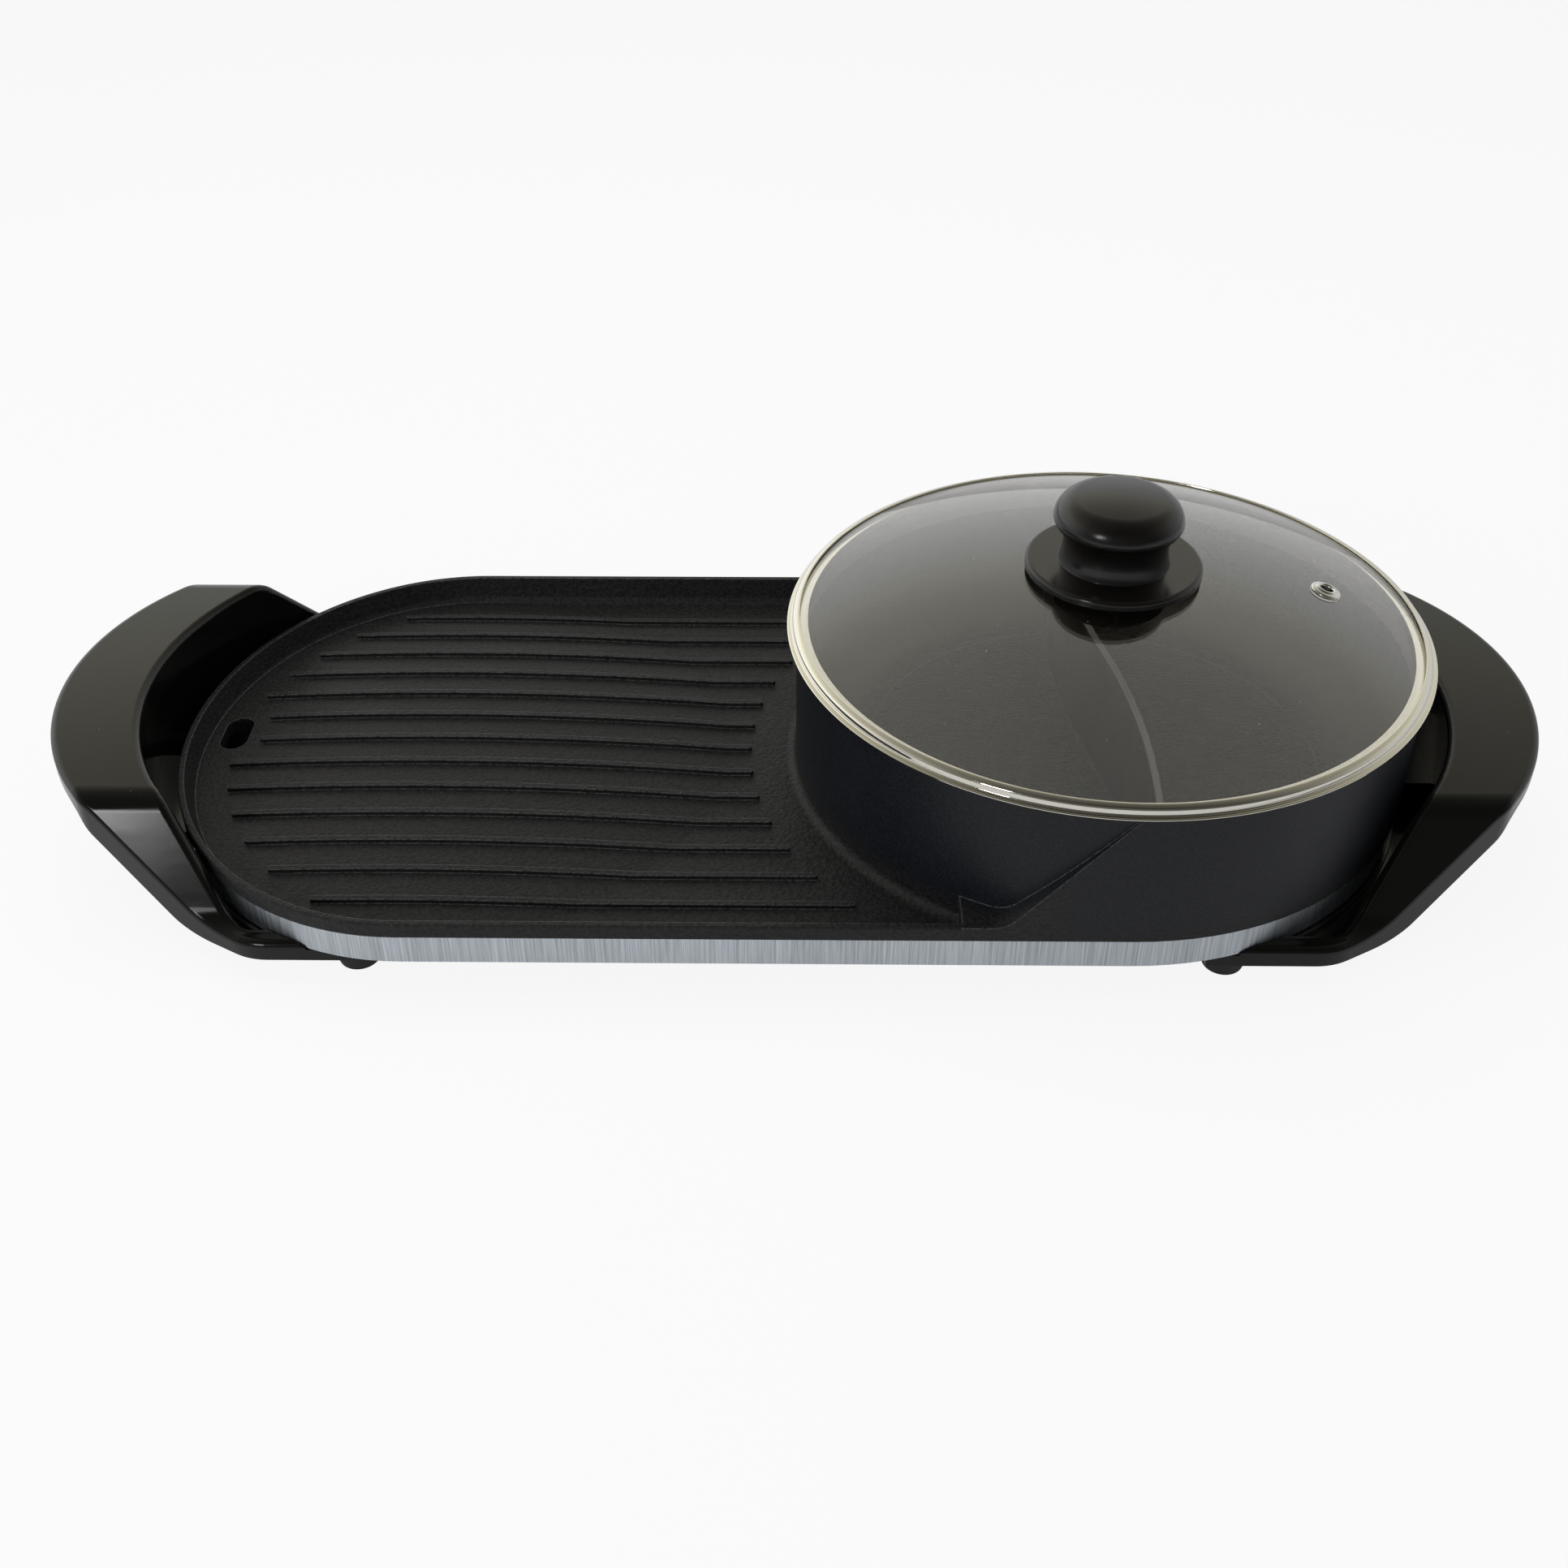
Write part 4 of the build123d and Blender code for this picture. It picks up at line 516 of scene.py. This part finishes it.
def pan_finish():
    """Matte griddle, satin pot wall, and a pot floor with a short wavy emboss inside a fine ring; painted
    highlights lie along sharp edges and on the divider's top.
    """
    made, tree, shader = new_finish("pan_coating", Specular_IOR_Level=0.26)
    place = object_place(tree)
    parts = parts_of(tree, place)
    from_axis = calc(tree, "SUBTRACT", parts[0], POT_X)
    squares = calc(tree, "ADD", calc(tree, "POWER", from_axis, 2.0), calc(tree, "POWER", parts[1], 2.0))
    radius = calc(tree, "SQRT", squares)
    inside = ramp(tree, radius, POT_WALL_RADIUS + 0.4 * MM, POT_WALL_RADIUS + 0.2 * MM)
    above_shelf = ramp(tree, parts[2], SHELF_LOW_Z, SHELF_HIGH_Z)
    outer_wall = times(tree, above_shelf, ramp(tree, radius, SHELF_RADIUS, POT_FOOT_RADIUS))
    pot = calc(tree, "MAXIMUM", outer_wall, inside)
    floor = times(tree, ramp(tree, parts[2], POT_FLOOR_Z + 0.8 * MM, POT_FLOOR_Z), inside)
    griddle = use_effect(
        tree,
        CAST,
        Coat_Colour=(0.0115, 0.0115, 0.0115, 1),
        Fleck_Colour=(0.03, 0.03, 0.031, 1),
        Fleck_Amount=0.45,
        Pebble_Scale=700.0,
        Pebble_Depth=2.4,
        Roughness=0.5,
    )
    wall = use_effect(
        tree,
        CAST,
        Coat_Colour=(0.0085, 0.0095, 0.0125, 1),
        Fleck_Colour=(0.045, 0.05, 0.06, 1),
        Fleck_Amount=0.45,
        Pebble_Scale=1300.0,
        Pebble_Depth=0.55,
        Roughness=0.42,
    )
    inputs = {"Vector": stretched(tree, place, (330, 620, 1)), "Scale": 1.0, "Randomness": 1.0}
    waves = add_node(tree, "ShaderNodeTexVoronoi", inputs, feature="DISTANCE_TO_EDGE")
    crinkle = ramp(tree, waves.outputs["Distance"], 0.0, 0.16)
    crinkle = times(tree, calc(tree, "SUBTRACT", crinkle, 1.0), floor)
    ring_gap = calc(tree, "ABSOLUTE", calc(tree, "SUBTRACT", radius, FLOOR_RING_RADIUS))
    ring = times(tree, ramp(tree, ring_gap, 0.7 * MM, 0.25 * MM), floor)
    # Painted highlight: a light tone on the divider's top.
    painted_divider_highlight = times(tree, inside, ramp(tree, parts[2], DIVIDER_TOP_Z - 0.55 * MM, DIVIDER_TOP_Z))

    wall_tone = mix_colour(tree, inside, wall["Colour"], (0.0125, 0.0112, 0.0085, 1))
    colour = mix_colour(tree, pot, griddle["Colour"], wall_tone)
    for mask, amount, tone in (
        (ring, 0.5, (0.05, 0.052, 0.055, 1)),
        (crinkle, -0.42, (0.03, 0.029, 0.025, 1)),
        # painted highlight: a light tone along sharp edges
        (painted_edge_highlight(tree, place), 0.7, (0.17, 0.17, 0.175, 1)),
        # painted highlight on the divider's top
        (painted_divider_highlight, 0.24, (0.3, 0.29, 0.27, 1)),
    ):
        colour = mix_colour(tree, times(tree, mask, amount), colour, tone)
    rough = mix_value(tree, pot, griddle["Roughness"], wall["Roughness"])
    height = mix_value(tree, pot, griddle["Height"], wall["Height"])
    height = calc(tree, "ADD", height, times(tree, crinkle, 1.3))
    height = calc(tree, "SUBTRACT", height, times(tree, ring, 1.5))
    wear_skin(tree, shader, dusted(tree, colour, 0.22, 330.0), rough, height, 0.16 * MM, 0.7 * MM)
    return made


def glass_finish():
    """Clear lid glass with a faint warm body, fine smears and specks, that lets light through."""
    made, tree, shader = new_finish(
        "lid_glass_clear",
        IOR=1.62,
        Transmission_Weight=1.0,
        Base_Color=(0.95, 0.94, 0.89, 1),
    )
    smear = ramp(tree, noise(tree, object_place(tree), 26.0, 4.0, 0.6), 0.45, 0.8)
    specks = use_effect(tree, DUST, Colour=(0.0, 0.0, 0.0, 1), Dust_Colour=WHITE, Amount=1.0, Speck_Scale=190.0)
    rough = calc(tree, "ADD", times(tree, smear, 0.045), times(tree, specks["Mask"], 0.5), clamp=True)
    tree.links.new(rough, shader.inputs["Roughness"])
    clear = add_node(tree, "ShaderNodeBsdfTransparent", {"Color": (0.94, 0.93, 0.9, 1)})
    path = add_node(tree, "ShaderNodeLightPath")
    shaders = {0: path.outputs["Is Shadow Ray"], 1: shader.outputs[0], 2: clear.outputs[0]}
    either = add_node(tree, "ShaderNodeMixShader", shaders)
    tree.links.new(either.outputs[0], tree.nodes["Material Output"].inputs["Surface"])
    return made


FINISHES = {
    "pan": pan_finish(),
    "glass": glass_finish(),
    "band": metal(
        "band_brushed",
        (0.55, 0.595, 0.635),
        rough=0.4,
        across=2300.0,
        along=30.0,
        contrast=1.7,
        tarnish=0.08,
        depth=0.03 * MM,
    ),
    "rim": metal(
        "rim_polished",
        (0.8, 0.78, 0.7),
        rough=0.07,
        across=900.0,
        along=300.0,
        contrast=0.12,
        tarnish=0.06,
        depth=0.003 * MM,
    ),
    "vent": metal(
        "vent_plated",
        (0.75, 0.75, 0.73),
        rough=0.12,
        across=1500.0,
        along=1500.0,
        contrast=0.15,
        tarnish=0.05,
    ),
    "screws": metal(
        "screw_zinc",
        (0.5, 0.5, 0.48),
        rough=0.35,
        across=1800.0,
        along=1800.0,
        contrast=0.35,
        tarnish=0.2,
    ),
    "insert": metal(
        "insert_brass",
        (0.62, 0.45, 0.2),
        rough=0.3,
        across=1500.0,
        along=900.0,
        contrast=0.25,
        tarnish=0.2,
    ),
    "reflector": metal(
        "reflector_bright",
        (0.66, 0.66, 0.67),
        rough=0.28,
        across=700.0,
        along=60.0,
        contrast=0.3,
        tarnish=0.2,
    ),
    "element": metal(
        "element_oxidised",
        (0.09, 0.085, 0.08),
        rough=0.55,
        across=600.0,
        along=600.0,
        contrast=0.6,
        tarnish=0.4,
        depth=0.03 * MM,
    ),
    "tray": metal(
        "tray_sheet",
        (0.2, 0.2, 0.2),
        rough=0.42,
        across=500.0,
        along=500.0,
        contrast=0.3,
        tarnish=0.14,
        depth=0.02 * MM,
    ),
    "gloss_black": plastic(
        "handle_gloss",
        (0.0032, 0.0033, 0.0029),
        rough=0.14,
        haze=0.07,
        peel_scale=260.0,
        peel=0.25,
        dust=0.2,
        shine=0.34,
    ),
    "matte_black": plastic(
        "inlet_moulded",
        (0.012, 0.012, 0.012),
        rough=0.5,
        haze=0.1,
        peel_scale=900.0,
        peel=0.5,
        depth=0.03 * MM,
        dust=0.3,
    ),
    "bakelite": plastic(
        "knob_bakelite",
        (0.004, 0.0036, 0.0033),
        rough=0.17,
        haze=0.1,
        peel_scale=700.0,
        peel=0.35,
        dust=0.5,
    ),
    "ceramic": plastic(
        "ceramic_white",
        (0.62, 0.6, 0.55),
        rough=0.5,
        haze=0.1,
        peel_scale=500.0,
        peel=0.4,
        depth=0.04 * MM,
    ),
    "sleeve": plastic(
        "wire_sleeve",
        (0.45, 0.42, 0.35),
        rough=0.8,
        haze=0.1,
        peel_scale=1800.0,
        peel=1.0,
        depth=0.1 * MM,
    ),
    "lamp": plastic(
        "lamp_lens",
        (0.32, 0.012, 0.008),
        rough=0.12,
        haze=0.05,
        peel_scale=300.0,
        peel=0.1,
        depth=0.01 * MM,
    ),
    "rubber": plastic(
        "foot_rubber",
        (0.011, 0.011, 0.011),
        rough=0.62,
        haze=0.1,
        peel_scale=1200.0,
        peel=0.8,
        depth=0.04 * MM,
        dust=0.3,
    ),
}
FINISHED_NODES = {
    "pan": ("pan",),
    "glass": ("lid_glass",),
    "rim": ("lid_rim",),
    "vent": ("vent_grommet",),
    "bakelite": ("knob", "knob_seat"),
    "insert": ("knob_insert",),
    "screws": ("knob_screw", "inlet_pins", "griddle_shaft", "pot_shaft", "foot_screws", "handle_screws"),
    "band": ("side_band",),
    "tray": ("base_tray",),
    "element": ("griddle_element", "pot_element"),
    "reflector": ("griddle_reflector", "pot_reflector", "griddle_clips", "pot_clips"),
    "matte_black": ("power_inlet", "drip_cup"),
    "ceramic": ("terminal_block", "thermal_fuse", "griddle_thermostat", "pot_thermostat"),
    "sleeve": ("wiring",),
    "gloss_black": (
        "handle_griddle",
        "handle_pot",
        "griddle_control_box",
        "pot_control_box",
        "griddle_dial",
        "pot_dial",
    ),
    "lamp": ("griddle_lamps", "pot_lamps"),
    "rubber": ("foot_griddle_front", "foot_griddle_back", "foot_pot_front", "foot_pot_back"),
}
for finish_name, node_names in FINISHED_NODES.items():
    for node_name in node_names:
        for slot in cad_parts[node_name].material_slots:
            slot.material = FINISHES[finish_name]

for finer, plain_node, finish_name in ((lid_ring(), "lid_rim", "rim"), (vent_eyelet(), "vent_grommet", "vent")):
    finer.data.materials.append(FINISHES[finish_name])
    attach(finer, "lid")
    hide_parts(plain_node)

aim_camera()
make_surround()
make_floor()
for lamp in LAMPS:
    softbox(*lamp)
bpy.context.scene.view_settings.view_transform = "Standard"
